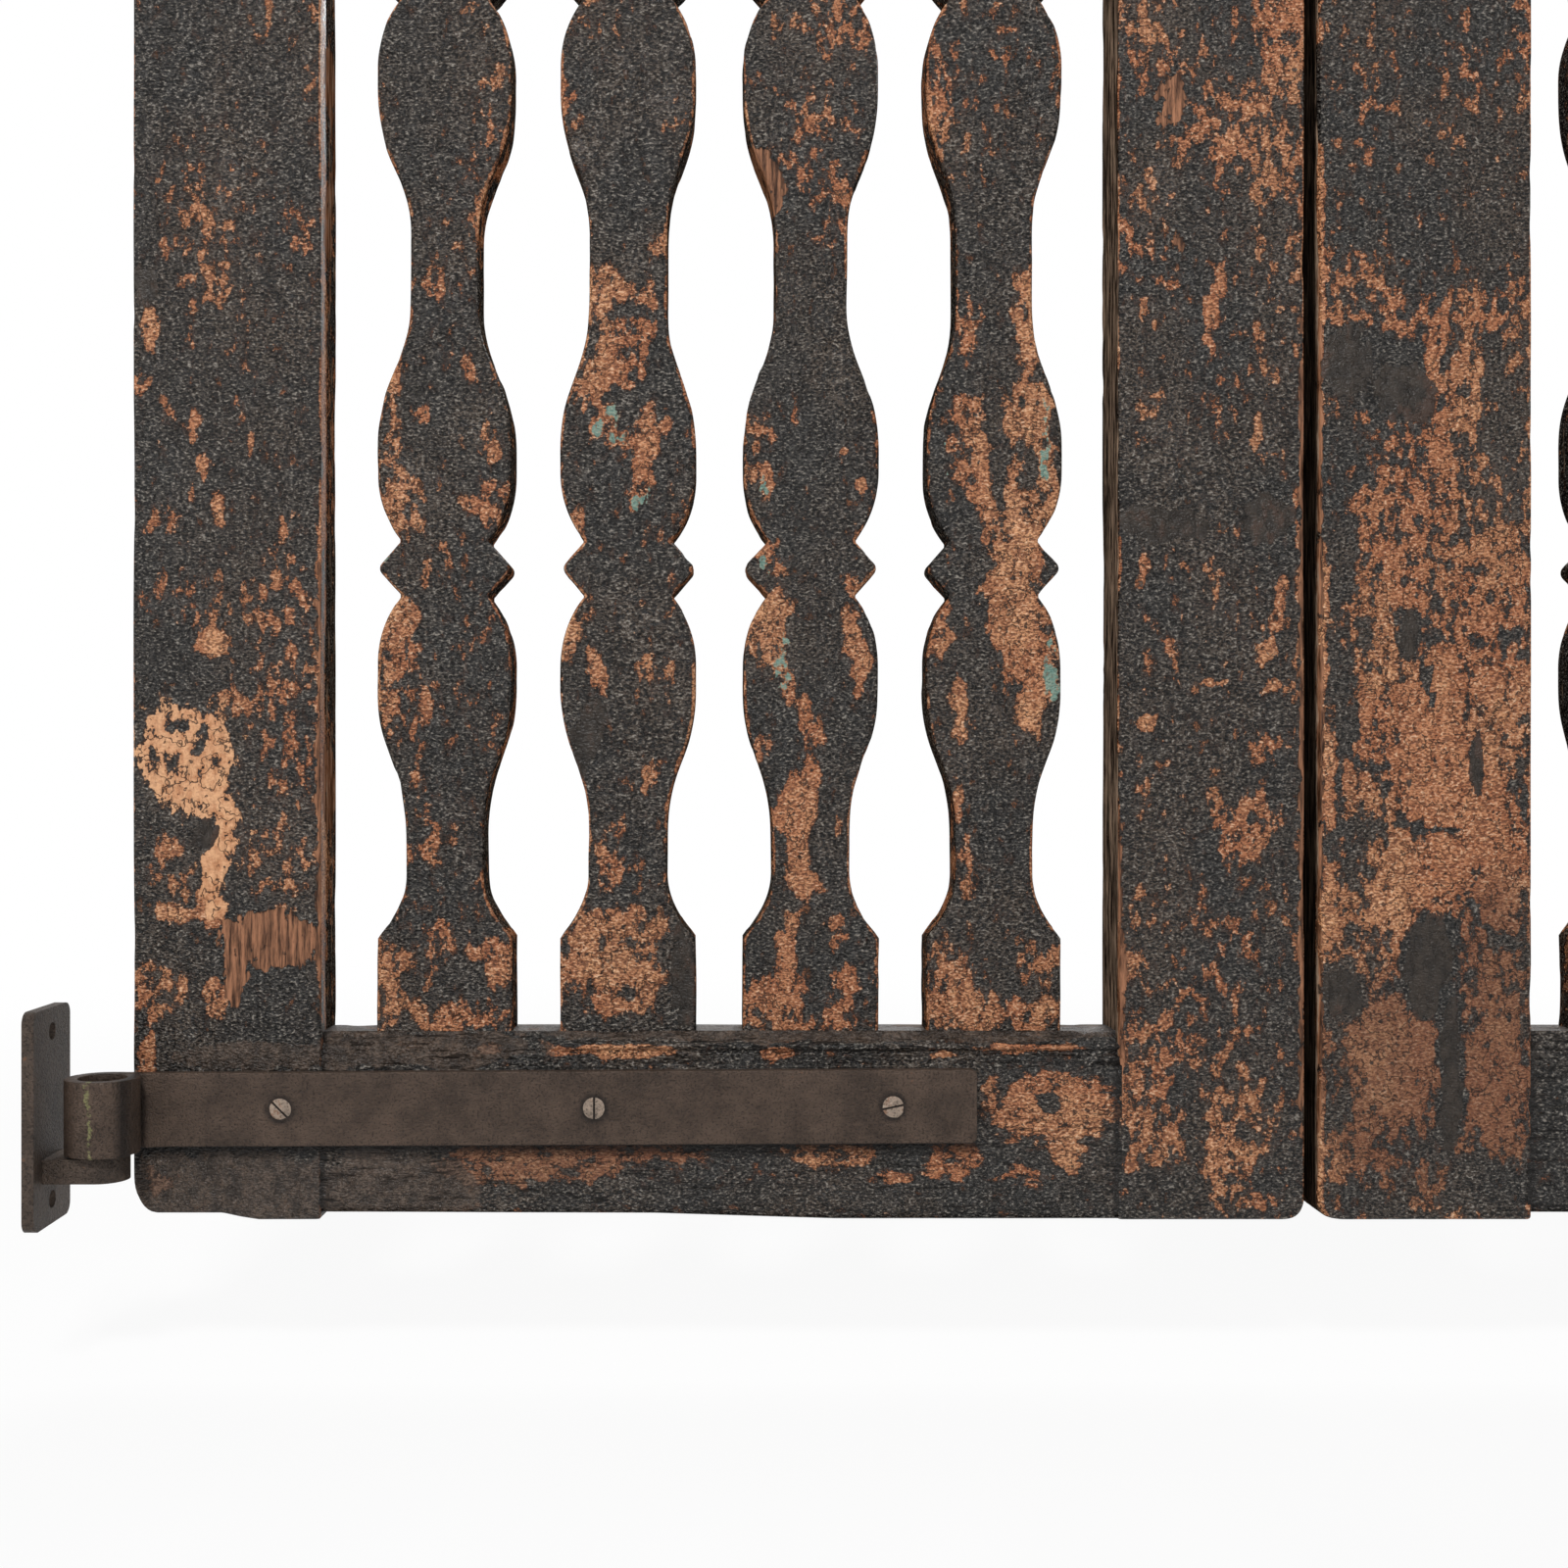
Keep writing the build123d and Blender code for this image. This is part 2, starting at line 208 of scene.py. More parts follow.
BASE_LEVELS = {
    "left_hinge_stile": -0.95,
    "left_baluster_1": -0.8,
    "left_baluster_2": -0.85,
    "left_baluster_3": -0.95,
    "left_baluster_4": -0.85,
    "left_meeting_stile": -0.72,
    "right_meeting_stile": -0.05,
    "left_bottom_rail": -0.9,
}
STROKES = {
    "left_hinge_stile": [
        (0, 214, 285, 24, 24), (0.1, 228, 325, 5, 48), (0.1, 198, 335, 4, 45), (0.8, 150, 332, 10, 25),
        (0.5, 142, 392, 8, 10), (-0.75, 250, 350, 30, 60), (0.9, 197, 433, 5, 22, 8), (0.8, 208, 476, 7, 15),
        (0.6, 198, 498, 3, 16), (1.1, 222, 522, 6, 18, -8), (0.1, 245, 418, 5, 16), (0.2, 255, 455, 5, 14),
        (-0.1, 172, 418, 7, 16), (-0.2, 165, 530, 16, 22), (-0.1, 285, 470, 7, 16), (0.1, 290, 540, 9, 24),
        (0, 162, 605, 22, 18), (-0.25, 200, 615, 34, 34), (-0.1, 285, 625, 36, 64), (-1.3, 170, 665, 34, 30),
        (1.3, 215, 658, 17, 15), (-1.2, 205, 682, 16, 9), (-0.25, 290, 745, 38, 90),
        (0.62, 192, 772, 48, 56), (0.3, 232, 722, 24, 20), (0.35, 165, 770, 22, 30), (-0.9, 185, 740, 9, 9),
        (-0.8, 205, 755, 4, 16), (0, 175, 885, 28, 34), (0.6, 225, 852, 18, 62, 6),
        (-1.6, 208, 852, 11, 17, 15), (-0.2, 290, 880, 40, 50), (0.9, 215, 922, 15, 30),
        (0.8, 180, 932, 24, 9), (-1.3, 182, 985, 22, 34), (0.1, 165, 1012, 28, 30), (0.5, 222, 1022, 12, 24),
        (-1.4, 262, 1062, 62, 34), (0.6, 153, 1076, 12, 26), (0.3, 328, 700, 6, 210), (0.7, 330, 960, 7, 70),
        (0.1, 160, 1208, 18, 13), (-1.2, 285, 990, 26, 18),
    ],
    "left_baluster_1": [
        (0.5, 402, 385, 7, 62, -3), (0.3, 398, 470, 10, 32), (0.25, 412, 512, 22, 28),
        (-0.05, 455, 285, 22, 26), (0, 428, 278, 16, 14), (0.3, 478, 375, 6, 22), (0.3, 432, 425, 9, 9),
        (0.2, 500, 455, 12, 20), (0.2, 495, 515, 24, 24), (-0.25, 440, 570, 16, 32), (0.7, 408, 645, 20, 40),
        (0.4, 400, 702, 15, 42), (0.1, 430, 722, 14, 34), (0.1, 425, 802, 10, 16), (-0.3, 440, 872, 16, 34),
        (-0.3, 440, 962, 44, 34), (0.5, 497, 985, 24, 24), (0.15, 455, 1036, 74, 18),
        (0.3, 398, 1005, 12, 44), (-0.9, 470, 1000, 20, 20),
    ],
    "left_baluster_2": [
        (0.3, 620, 290, 28, 28), (0.35, 635, 360, 24, 40, -10), (0.6, 608, 385, 16, 22),
        (0, 655, 325, 14, 44), (0.6, 622, 440, 15, 34, -20), (0.8, 656, 465, 11, 54, 8),
        (0.7, 676, 434, 14, 8, -30), (0.5, 592, 405, 8, 18), (0.7, 590, 530, 8, 14),
        (1, 582, 640, 11, 34, 8), (0.8, 608, 682, 10, 28, -15), (0.1, 600, 620, 12, 16),
        (0.4, 685, 690, 6, 16), (-0.2, 660, 690, 10, 34), (-0.25, 660, 800, 14, 34), (0, 625, 872, 20, 34),
        (0.5, 625, 985, 52, 56), (0.35, 650, 945, 34, 20), (-0.6, 640, 1046, 52, 8),
    ],
    "left_baluster_3": [
        (0.2, 776, 440, 15, 22), (0.4, 812, 425, 6, 12), (0.3, 778, 492, 13, 22), (1, 880, 495, 6, 9),
        (0.4, 862, 455, 5, 8), (0.2, 785, 572, 18, 18), (0.4, 870, 597, 9, 12), (0.6, 785, 642, 24, 42),
        (0.5, 800, 690, 12, 30), (0.7, 868, 650, 12, 30, -10), (0.7, 880, 685, 9, 24),
        (0.7, 820, 730, 9, 22), (0.3, 775, 765, 11, 14), (0.1, 832, 770, 13, 32), (0.85, 812, 822, 20, 36),
        (0.6, 815, 882, 14, 42), (0.5, 832, 906, 14, 14), (0.3, 855, 840, 5, 14), (-0.8, 840, 962, 24, 24),
        (0.5, 798, 980, 14, 50, 10), (0.5, 790, 1026, 32, 30), (0.15, 862, 1018, 22, 32),
        (0.3, 856, 950, 12, 20), (0.4, 828, 1044, 62, 12), (-1.2, 772, 975, 10, 22), (-0.6, 888, 985, 9, 34),
        (-1.3, 850, 360, 40, 90),
    ],
    "left_baluster_4": [
        (0.2, 1045, 300, 18, 42), (0.8, 1050, 355, 14, 42), (0.1, 990, 342, 16, 42), (0.5, 985, 452, 20, 44),
        (0.35, 1040, 402, 18, 54), (0.8, 1060, 432, 12, 44), (0.5, 998, 482, 16, 24),
        (0.5, 1070, 502, 12, 42), (-1.1, 1012, 380, 24, 24), (0.8, 1038, 560, 22, 76),
        (0.4, 1005, 522, 12, 32), (0.6, 1012, 592, 22, 14), (0.9, 1035, 642, 26, 62),
        (0.6, 1012, 642, 7, 32), (0.5, 960, 640, 13, 36), (1, 978, 712, 12, 17), (0.7, 978, 746, 8, 14),
        (0.7, 1055, 702, 17, 52), (0.5, 1072, 652, 8, 60), (-0.9, 990, 582, 12, 16), (-1, 1010, 725, 22, 60),
        (0.7, 978, 822, 6, 18), (-1, 1008, 800, 22, 60), (0, 985, 882, 7, 42), (0, 970, 990, 22, 32),
        (0.55, 985, 1030, 42, 24), (0.3, 1042, 1032, 42, 18), (0.2, 1062, 985, 22, 20),
    ],
    "left_meeting_stile": [
        (0.8, 1239, 305, 7, 38, 12), (0.6, 1235, 352, 5, 16), (-0.5, 1190, 312, 32, 32),
        (-0.35, 1297, 352, 20, 44), (-0.1, 1170, 410, 16, 22), (-0.1, 1240, 410, 12, 22),
        (0.1, 1283, 440, 8, 22), (-1.3, 1215, 500, 80, 26), (0, 1160, 580, 13, 18), (0.2, 1240, 587, 6, 18),
        (0.7, 1303, 630, 6, 46, 12), (0.5, 1288, 662, 6, 26), (0.6, 1235, 696, 17, 6),
        (0.4, 1303, 700, 13, 5), (0.9, 1170, 738, 9, 10), (-0.3, 1180, 672, 32, 22), (0, 1290, 762, 22, 16),
        (0, 1165, 812, 12, 22), (0.3, 1276, 842, 28, 36), (-0.1, 1238, 815, 10, 44),
        (0.4, 1258, 852, 12, 26), (-0.1, 1170, 925, 16, 22), (-0.35, 1240, 942, 54, 42),
        (0.2, 1160, 982, 15, 22), (-0.3, 1225, 1002, 64, 32), (0, 1180, 1072, 36, 32),
        (-0.25, 1262, 1082, 46, 32), (0.2, 1170, 1132, 26, 52), (0, 1265, 1132, 42, 42),
        (0.25, 1182, 1176, 32, 22), (0.15, 1265, 1172, 32, 30), (-1.3, 1200, 1216, 44, 20),
        (0, 1260, 1226, 40, 14), (0.3, 1240, 1200, 10, 20), (-1.3, 1151, 620, 8, 170),
        (0.1, 1327, 700, 4, 500), (0.6, 1143, 990, 4, 140),
    ],
    "right_meeting_stile": [
        (0, 1400, 300, 54, 36), (-0.6, 1470, 280, 60, 16), (0.2, 1500, 322, 32, 30), (0.9, 1420, 335, 22, 9),
        (-0.9, 1380, 345, 40, 14), (-1.4, 1405, 380, 56, 40), (-0.9, 1512, 372, 22, 34),
        (-0.7, 1532, 430, 22, 44), (0.5, 1498, 398, 13, 60), (0.8, 1462, 382, 9, 42),
        (0.6, 1470, 450, 12, 32), (-0.8, 1370, 462, 28, 44), (-0.1, 1425, 462, 22, 32),
        (-0.8, 1366, 562, 20, 62), (0.25, 1420, 522, 32, 42), (0.35, 1425, 602, 34, 50),
        (0.1, 1500, 502, 42, 32), (0.5, 1520, 592, 42, 50), (-0.8, 1545, 482, 12, 42),
        (0.5, 1420, 722, 32, 62), (-0.7, 1365, 722, 20, 64), (1.05, 1480, 782, 52, 110),
        (-1.6, 1438, 648, 10, 26), (-1.2, 1455, 690, 4, 32, -15), (-1.6, 1508, 775, 6, 36),
        (-0.6, 1440, 842, 64, 4, 8), (-0.5, 1380, 862, 28, 40), (0.85, 1440, 902, 42, 50),
        (0.5, 1525, 722, 34, 54), (0.8, 1532, 882, 26, 62), (-1.3, 1486, 962, 5, 24), (0, 1370, 962, 28, 32),
        (0.9, 1425, 1082, 44, 62), (-0.5, 1362, 1120, 15, 52), (0.3, 1400, 1172, 42, 38),
        (-0.3, 1445, 1192, 20, 50), (0.2, 1525, 1012, 32, 42), (0.9, 1527, 1102, 28, 62),
        (-1.6, 1456, 985, 26, 52, 5), (-1.5, 1480, 1100, 12, 84), (-1.2, 1368, 1012, 22, 28),
        (-1.1, 1520, 1212, 44, 30), (-0.6, 1390, 1230, 50, 16), (0.6, 1351, 640, 6, 84),
        (1.1, 1356, 792, 6, 54), (1, 1356, 932, 6, 44),
    ],
    "left_bottom_rail": [
        (1, 630, 1074, 66, 7), (0.6, 500, 1070, 16, 5), (0.8, 790, 1076, 18, 7), (0.9, 1050, 1069, 54, 4),
        (0.5, 965, 1078, 16, 4), (0.55, 505, 1190, 60, 24), (0.6, 600, 1182, 60, 17),
        (0.3, 580, 1206, 34, 9), (0.4, 690, 1176, 32, 13), (0.3, 850, 1176, 52, 12), (0.4, 910, 1206, 26, 9),
        (0.5, 972, 1182, 26, 24), (0.75, 1078, 1132, 60, 34), (0.6, 1092, 1178, 18, 16),
        (0.2, 1040, 1202, 24, 10), (0.3, 1010, 1122, 15, 22), (-1.4, 1068, 1128, 9, 9),
        (-1.2, 760, 1220, 300, 12), (-1.2, 380, 1200, 54, 32),
    ],
}

# Places of bare wood, smooth dark repairs, a green tinge, light flat undercoat, dirt and dull
# undercoat, in the same pixels and without a level
TINTS = {
    "left_hinge_stile": {
        "wood": [(272, 958, 54, 30), (240, 1000, 12, 28), (330, 820, 7, 260)],
        "patch": [(147, 287, 13, 21), (208, 852, 12, 17, 15)],
        "tan": [(190, 770, 60, 66), (228, 860, 24, 76, 6)],
        "grime": [(240, 1215, 120, 42), (262, 1078, 80, 16)],
    },
    "left_baluster_1": {
        "teal": [(400, 572, 12, 8), (508, 690, 5, 40)],
    },
    "left_baluster_2": {
        "patch": [(600, 752, 16, 44, 12), (696, 1000, 12, 54)],
        "teal": [(622, 440, 16, 30), (655, 510, 10, 20)],
    },
    "left_baluster_3": {
        "teal": [(798, 680, 12, 44, 10), (775, 500, 8, 20), (776, 580, 10, 12)],
    },
    "left_baluster_4": {
        "teal": [(1066, 450, 8, 44), (960, 470, 8, 30), (1072, 690, 8, 50)],
    },
    "left_meeting_stile": {
        "wood": [(1143, 990, 4, 150), (1328, 760, 3, 480)],
        "patch": [(1190, 535, 44, 18), (1290, 528, 30, 24)],
    },
    "right_meeting_stile": {
        "wood": [(1346, 700, 4, 540)],
        "dull": [(1430, 1110, 90, 120), (1530, 1060, 60, 160)],
        "patch": [
            (1376, 370, 24, 36), (1436, 403, 32, 30), (1438, 648, 9, 24), (1508, 775, 6, 34),
            (1456, 985, 24, 50, 5), (1480, 1100, 10, 80), (1368, 1012, 20, 26),
        ],
    },
    "left_bottom_rail": {
        "dull": [(600, 1190, 180, 36)],
        "grime": [(420, 1072, 130, 18), (860, 1056, 320, 8), (400, 1215, 90, 40)],
    },
}
TINT_KINDS = ("wood", "patch", "teal", "grime", "tan", "dull")

# The photograph ends here, and noise alone paints what lies above
CUT_LEVEL = from_photo(0, 265)[1]


def inside_mark(points, drift, mark, depth):
    """1 inside a listed ellipse and 0 outside it, with a soft rim that drifts about."""
    middle_x, middle_y, half_width, half_height, *tilt = mark
    x, z = from_photo(middle_x, middle_y, depth)
    strength = min(1.0, half_width / 16, half_height / 16)
    across = (points[:, 0] + drift[0] * strength - x) / PIXEL
    up = (points[:, 2] + drift[1] * strength - z) / PIXEL
    turn = radians(sum(tilt))
    along_x = across * np.cos(turn) - up * np.sin(turn)
    along_z = across * np.sin(turn) + up * np.cos(turn)
    return smooth_step(-np.hypot(along_x / half_width, along_z / half_height), -1.3, -0.75)


def painted_strap_shadow(points):
    """Painted shadow of the straps: 1 on the strip of wood just below each strap, and 0 farther down."""
    from_axis = np.minimum(points[:, 0] - LEFT_AXIS, RIGHT_AXIS - points[:, 0])
    shaded = np.zeros(len(points))
    for level in STRAP_LEVELS:
        below = level - STRAP_HALF_HEIGHT + from_axis * STRAP_RISE - points[:, 2]
        shaded = np.maximum(shaded, smooth_step(below, -6.0, -2.0) * smooth_step(-below, -6.5, -2.0))
    return shaded * (from_axis < STRAP_LENGTH)


def surface_fields(name, points, seen, edge, seed):
    """What the material flakes and colours by, at each point of a piece.

    Strokes lie on the part of the front that the photograph shows, and soft noise fills the rest.
    edge is 1 along the arrises, where paint goes first."""
    depth = BALUSTER_FRONT - FRONT if "baluster" in name else 0.0
    shown = seen * smooth_step(-points[:, 2], -CUT_LEVEL - 12, -CUT_LEVEL + 12)
    tone = fractal(points, (30, 30, 44), seed + 40, 3)
    wander = fractal(points, (38, 38, 66), seed, 3)
    level = -0.62 + 1.5 * wander
    drift = [5.5 * fractal(points, (11, 11, 14), seed + 70 + 10 * axis, 2) for axis in (0, 1)]
    if name in BASE_LEVELS:
        level = level + (BASE_LEVELS[name] + 0.3 * wander - level) * shown
    for stroke_level, *mark in STROKES.get(name, []):
        level = level + (stroke_level - level) * inside_mark(points, drift, mark, depth) * shown
    level = level + edge * (0.9 + 2.2 * fractal(points, (20, 20, 34), seed + 90, 2))
    fields = {"bare": level, "tone": tone}
    for kind in TINT_KINDS:
        marks = TINTS.get(name, {}).get(kind, [])
        masks = [inside_mark(points, drift, mark, depth) for mark in marks]
        fields[kind] = np.max([np.zeros(len(points)), *masks], axis=0) * shown
    # The straps' painted shadow on the wood below them
    fields["gap"] = painted_strap_shadow(points) * seen
    elsewhere = smooth_step(fractal(points, (50, 50, 80), seed + 60, 2), 0.35, 0.5) * (1 - shown)
    fields["wood"] = np.maximum(fields["wood"], elsewhere)
    return fields


# Boards


def end_rows(length_from, length_to, spacing, corner):
    """Heights along a board, close together near its ends where its corners are rounded."""
    turns = np.linspace(0, 1, 11)
    near = corner * (1 - np.cos(turns * tau / 4))
    middle_from, middle_to = length_from + corner, length_to - corner
    steps = int(round((middle_to - middle_from) / spacing))
    middle = np.linspace(middle_from, middle_to, steps + 1)[1:-1]
    return np.concatenate([length_from + near, middle, length_to - near[::-1]])


def worn_radii(heights, radius, wear, seed):
    """Arris radii for four corners along a board, larger where the arris is knocked."""
    places = np.stack([heights * 0, heights * 0, heights], -1)
    columns = []
    for corner in range(4):
        gentle = 0.5 + 0.5 * fractal(places, (1, 1, 60), seed + 7 * corner, 3)
        knocked = smooth_step(fractal(places, (1, 1, 26), seed + 50 + 7 * corner, 2), 0.25, 0.7)
        columns.append(radius[corner] * (0.75 + 0.5 * gentle) + wear * knocked)
    return np.stack(columns, -1)


def round_end(heights, reach):
    """How far a board's four faces draw in near its ends."""
    near = np.minimum(heights - heights[0], heights[-1] - heights)
    inner = np.clip(1 - near / reach, 0, 1)
    return reach * (1 - np.sqrt(1 - inner**2))


def lift_foot(points, lift, reach):
    """Raises the points near a board's foot by the amounts that lift gives along X."""
    near_foot = np.clip(1 - (points[..., 2] - BOTTOM) / reach, 0, 1) ** 2
    points[..., 2] += np.interp(points[..., 0], *lift) * near_foot


# What a standing board has unless its own look says otherwise. The sides are -1 for low X and 1 for
# high X: gap_side is in a narrow gap, where its side face gets painted shade, and the paint on
# worn_side has gone from a strip.
BOARD_LOOK = {"wear": 2.0, "end": 1.6, "bare_sides": 1.0, "gap_side": 0, "worn_side": 0, "lift": ([0], [0])}
WORN_STRIP = 14.0


def upright_board(name, body, heights, left, right, front, back, look, seed):
    """A board that stands: rounded sections from its foot to its head, weathered on every face."""
    look = {**BOARD_LOOK, **look}
    columns, flat = look["columns"], look["flat"]
    inset = round_end(heights, look["end"])
    radii = worn_radii(heights, look["radii"], look["wear"], seed)
    rings, normals = rounded_section(
        left + inset, right - inset, front + inset, back - inset, radii, columns, flat
    )
    points = np.concatenate([rings, np.repeat(heights[:, None, None], rings.shape[1], 1)], -1)
    outward = np.broadcast_to(np.append(normals, np.zeros((len(normals), 1)), 1), points.shape)
    across = outward[..., 0]
    swell = 0.5 + 0.5 * fractal(points, (45, 45, 120), seed, 3)
    grain = np.clip(fractal(points, (5, 5, 110), seed + 3, 3), 0, 1)
    dents = smooth_step(fractal(points, (12, 12, 20), seed + 5, 2), 0.15, 0.75)
    depth = 0.55 * swell + 0.45 * dents + (0.25 + 1.3 * np.abs(across) ** 2) * grain
    points = points - outward * depth[..., None]
    tube, faces = closed_tube(points, columns, 2 * ARC + flat)
    lift_foot(tube, look["lift"], 70)
    at_end = np.arange(len(tube)) >= across.size
    opened = 0.5 + 0.5 * fractal(tube, (7, 9, 30), seed + 8, 3)
    tube[:, 2] -= np.where(at_end, np.sign(tube[:, 2] - MID_HEIGHT), 0) * 0.5 * opened

    def over_tube(values, at_ends):
        """Values for the rings' points, with one value for all the points of the end grids."""
        return np.append(values.ravel(), np.full(at_end.sum(), at_ends))

    in_gap = across * look["gap_side"]
    on_worn_side = smooth_step(across * look["worn_side"], 0.3, 0.8)
    in_strip = smooth_step(-points[..., 1], -front - WORN_STRIP, -front - WORN_STRIP + 1.5)
    edge = (2 * np.abs(across * outward[..., 1])) ** 1.5 * (1 + smooth_step(in_gap, 0.1, 0.5))
    edge = edge + on_worn_side * in_strip
    side = smooth_step(np.abs(across), 0.72, 0.97) * (1 - on_worn_side * (0.55 + 0.4 * in_strip))
    seen = over_tube(outward[..., 1] < -0.35, 0.0)
    fields = surface_fields(name, tube, seen, over_tube(edge, 0.0), seed)
    # Painted shade on the face in the narrow gap between the leaves
    fields["gap"] = np.maximum(fields["gap"], over_tube(smooth_step(in_gap, 0.86, 1.0), 0.0))
    fields["side"] = over_tube(side, 1.0) * look["bare_sides"]
    return add_piece(name, tube, faces, body, look["material"], name, fields)


def corner_draw(heights, width, height):
    """How far a stile's outer edge draws in at its rounded ends."""
    near = np.minimum(heights - heights[0], heights[-1] - heights)
    inner = np.clip(1 - near / height, 0, 1)
    return width * (1 - np.sqrt(1 - inner**2))


def stile(name, body, outer, inner, corner, look, seed):
    """A stile between its outer and inner edges, with rounded outer corners."""
    heights = end_rows(BOTTOM, TOP, 3.0, corner[1])
    drawn = corner_draw(heights, *corner)
    level = np.zeros_like(heights)
    left, right = (outer + drawn, inner + level) if outer < inner else (inner + level, outer - drawn)
    return upright_board(name, body, heights, left, right, FRONT, BACK, look, seed)


# A baluster's half-widths, and the lengths of its parts from its foot upwards. What is left between
# the foot block and the middle is shared by its two ogees.
BELLY, NECK, NOTCH, KNOP_TIP = 35.25, 20.5, 23.4, 35.2
FOOT_BLOCK, FLARE, LOWER_NECK, BELLY_RUN, SHOULDER = 47.5, 32.5, 20.0, 10.0, 35.0
NOTCH_RUN, KNOP, UPPER_NECK = 1.6, 26.8, 16.5
TENON = 2.5
BETWEEN_OGEES = LOWER_NECK + 2 * (BELLY_RUN + SHOULDER + NOTCH_RUN) + KNOP + UPPER_NECK
OGEE = (MID_HEIGHT - RAIL_TOP - FOOT_BLOCK - FLARE - BETWEEN_OGEES) / 2
SLIM_NECKS = {"left_baluster_1": 2.4, "left_baluster_3": 1.5, "left_baluster_4": 0.6}


def resampled(heights, widths, spacing):
    """A run of the outline with points about so far apart, without its first one."""
    length = np.abs(np.diff(heights)).sum() + np.abs(np.diff(widths)).sum()
    steps = max(3, int(length / spacing))
    wanted = np.linspace(0, 1, steps + 1)[1:]
    place = np.linspace(0, 1, len(heights))
    return np.interp(wanted, place, heights), np.interp(wanted, place, widths)


def baluster_outline():
    """Heights and half-widths of a baluster's lower half, from the rail's top to its middle."""
    share = np.linspace(0, 1, 60)[1:]

    def ogee(neck, belly):
        rise = 1.5 * share * (1 - share) + share**3
        return neck + (belly - neck) * rise, NECK + (BELLY - NECK) * (3 * share**2 - 2 * share**3)

    def shoulder(belly, notch):
        rise = 2 * share * (1 - share) * 0.57 + share**2
        return belly + (notch - belly) * rise, BELLY - (BELLY - NOTCH) * share**2

    def turned_over(pair, end_height, end_width):
        heights, widths = pair
        return np.append(heights[::-1][1:], end_height), np.append(widths[::-1][1:], end_width)

    def knop(start):
        heights = start + np.linspace(0, KNOP, 40)[1:]
        off = np.abs(heights - start - KNOP / 2)
        slanted = KNOP_TIP - (KNOP_TIP - NOTCH) * off / (KNOP / 2)
        tip = 29.87 + np.sqrt(np.clip(4.0**2 - off**2, 0, None))
        return heights, np.where(off < 2.645, tip, slanted)

    foot = RAIL_TOP - TENON
    flare = RAIL_TOP + FOOT_BLOCK
    neck = flare + FLARE
    flare_rest = (1 - share) ** 2
    belly = neck + LOWER_NECK + OGEE
    notch = belly + BELLY_RUN + SHOULDER
    upper_notch = notch + NOTCH_RUN + KNOP
    upper_shoulder = upper_notch + NOTCH_RUN
    upper_belly = upper_shoulder + SHOULDER
    upper_ogee = upper_belly + BELLY_RUN
    upper_neck = upper_ogee + OGEE
    runs = [
        (np.array([foot]), np.array([BELLY])),
        resampled([foot, flare - 0.6], [BELLY, BELLY], 2.6),
        resampled(flare + FLARE * share, BELLY * flare_rest + NECK * (1 - flare_rest), 2.4),
        resampled([neck, neck + LOWER_NECK], [NECK, NECK], 2.6),
        resampled(*ogee(neck + LOWER_NECK, belly), 2.4),
        resampled([belly, belly + BELLY_RUN], [BELLY, BELLY], 2.5),
        resampled(*shoulder(belly + BELLY_RUN, notch), 1.9),
        resampled([notch, notch + NOTCH_RUN], [NOTCH, NOTCH], 0.8),
        resampled(*knop(notch + NOTCH_RUN), 1.6),
        resampled([upper_notch, upper_shoulder], [NOTCH, NOTCH], 0.8),
        resampled(*turned_over(shoulder(upper_belly, upper_shoulder), upper_belly, BELLY), 1.9),
        resampled([upper_belly, upper_ogee], [BELLY, BELLY], 2.5),
        resampled(*turned_over(ogee(upper_neck, upper_ogee), upper_neck, NECK), 2.4),
        resampled([MID_HEIGHT - UPPER_NECK, MID_HEIGHT], [NECK, NECK], 2.6),
    ]
    return np.concatenate([run[0] for run in runs]), np.concatenate([run[1] for run in runs])


def baluster(name, body, middle, material, seed):
    """A flat shaped baluster, whole by mirroring its lower half."""
    low, widths = baluster_outline()
    heights = np.concatenate([low, 2 * MID_HEIGHT - low[-2::-1]])
    widths = np.concatenate([widths, widths[-2::-1]])
    places = np.stack([heights * 0, heights * 0, heights], -1)
    from_cut = np.clip(np.abs(heights - MID_HEIGHT) / 60, 0, 1)
    slimmer = SLIM_NECKS.get(name, 0.0) * (1 - smooth_step(from_cut, 0.35, 1.0))
    left = middle - widths + slimmer + 0.7 * fractal(places, (1, 1, 45), seed + 21, 3)
    right = middle + widths - slimmer + 0.7 * fractal(places, (1, 1, 45), seed + 31, 3)
    look = {"columns": 22, "flat": 6, "radii": (2.5, 2.5, 1.8, 1.8), "wear": 1.4, "end": 0.4}
    look.update({"bare_sides": 0.35, "material": material})
    return upright_board(name, body, heights, left, right, BALUSTER_FRONT, BALUSTER_BACK, look, seed)


def moulded_face():
    """A rail's front from its foot to its top, as heights above the foot and depths behind the face."""
    flat = [(height, 0.0) for height in np.arange(2.2, 78.0, 3.0)]
    fillet = [(78.6, 0.0), (79.1, 0.55), (81.2, 0.6), (83.2, 0.6), (83.7, 2.0), (86.2, 2.1)]
    turns = np.linspace(-80, 80, 8)
    bead = [(88.5 + 2.0 * np.sin(radians(turn)), 2.0 - 2.0 * np.cos(radians(turn))) for turn in turns]
    slope = [(90.9, 2.3), (92.2, 3.4), (93.6, 4.6), (95.0, 5.7)]
    return np.array([(0.8, 0.6), (0.2, 1.6), *flat[1:], *fillet, *bead, *slope])


MOULDING_FOOT, MOULDING_DEPTH = 76.0, 6.4


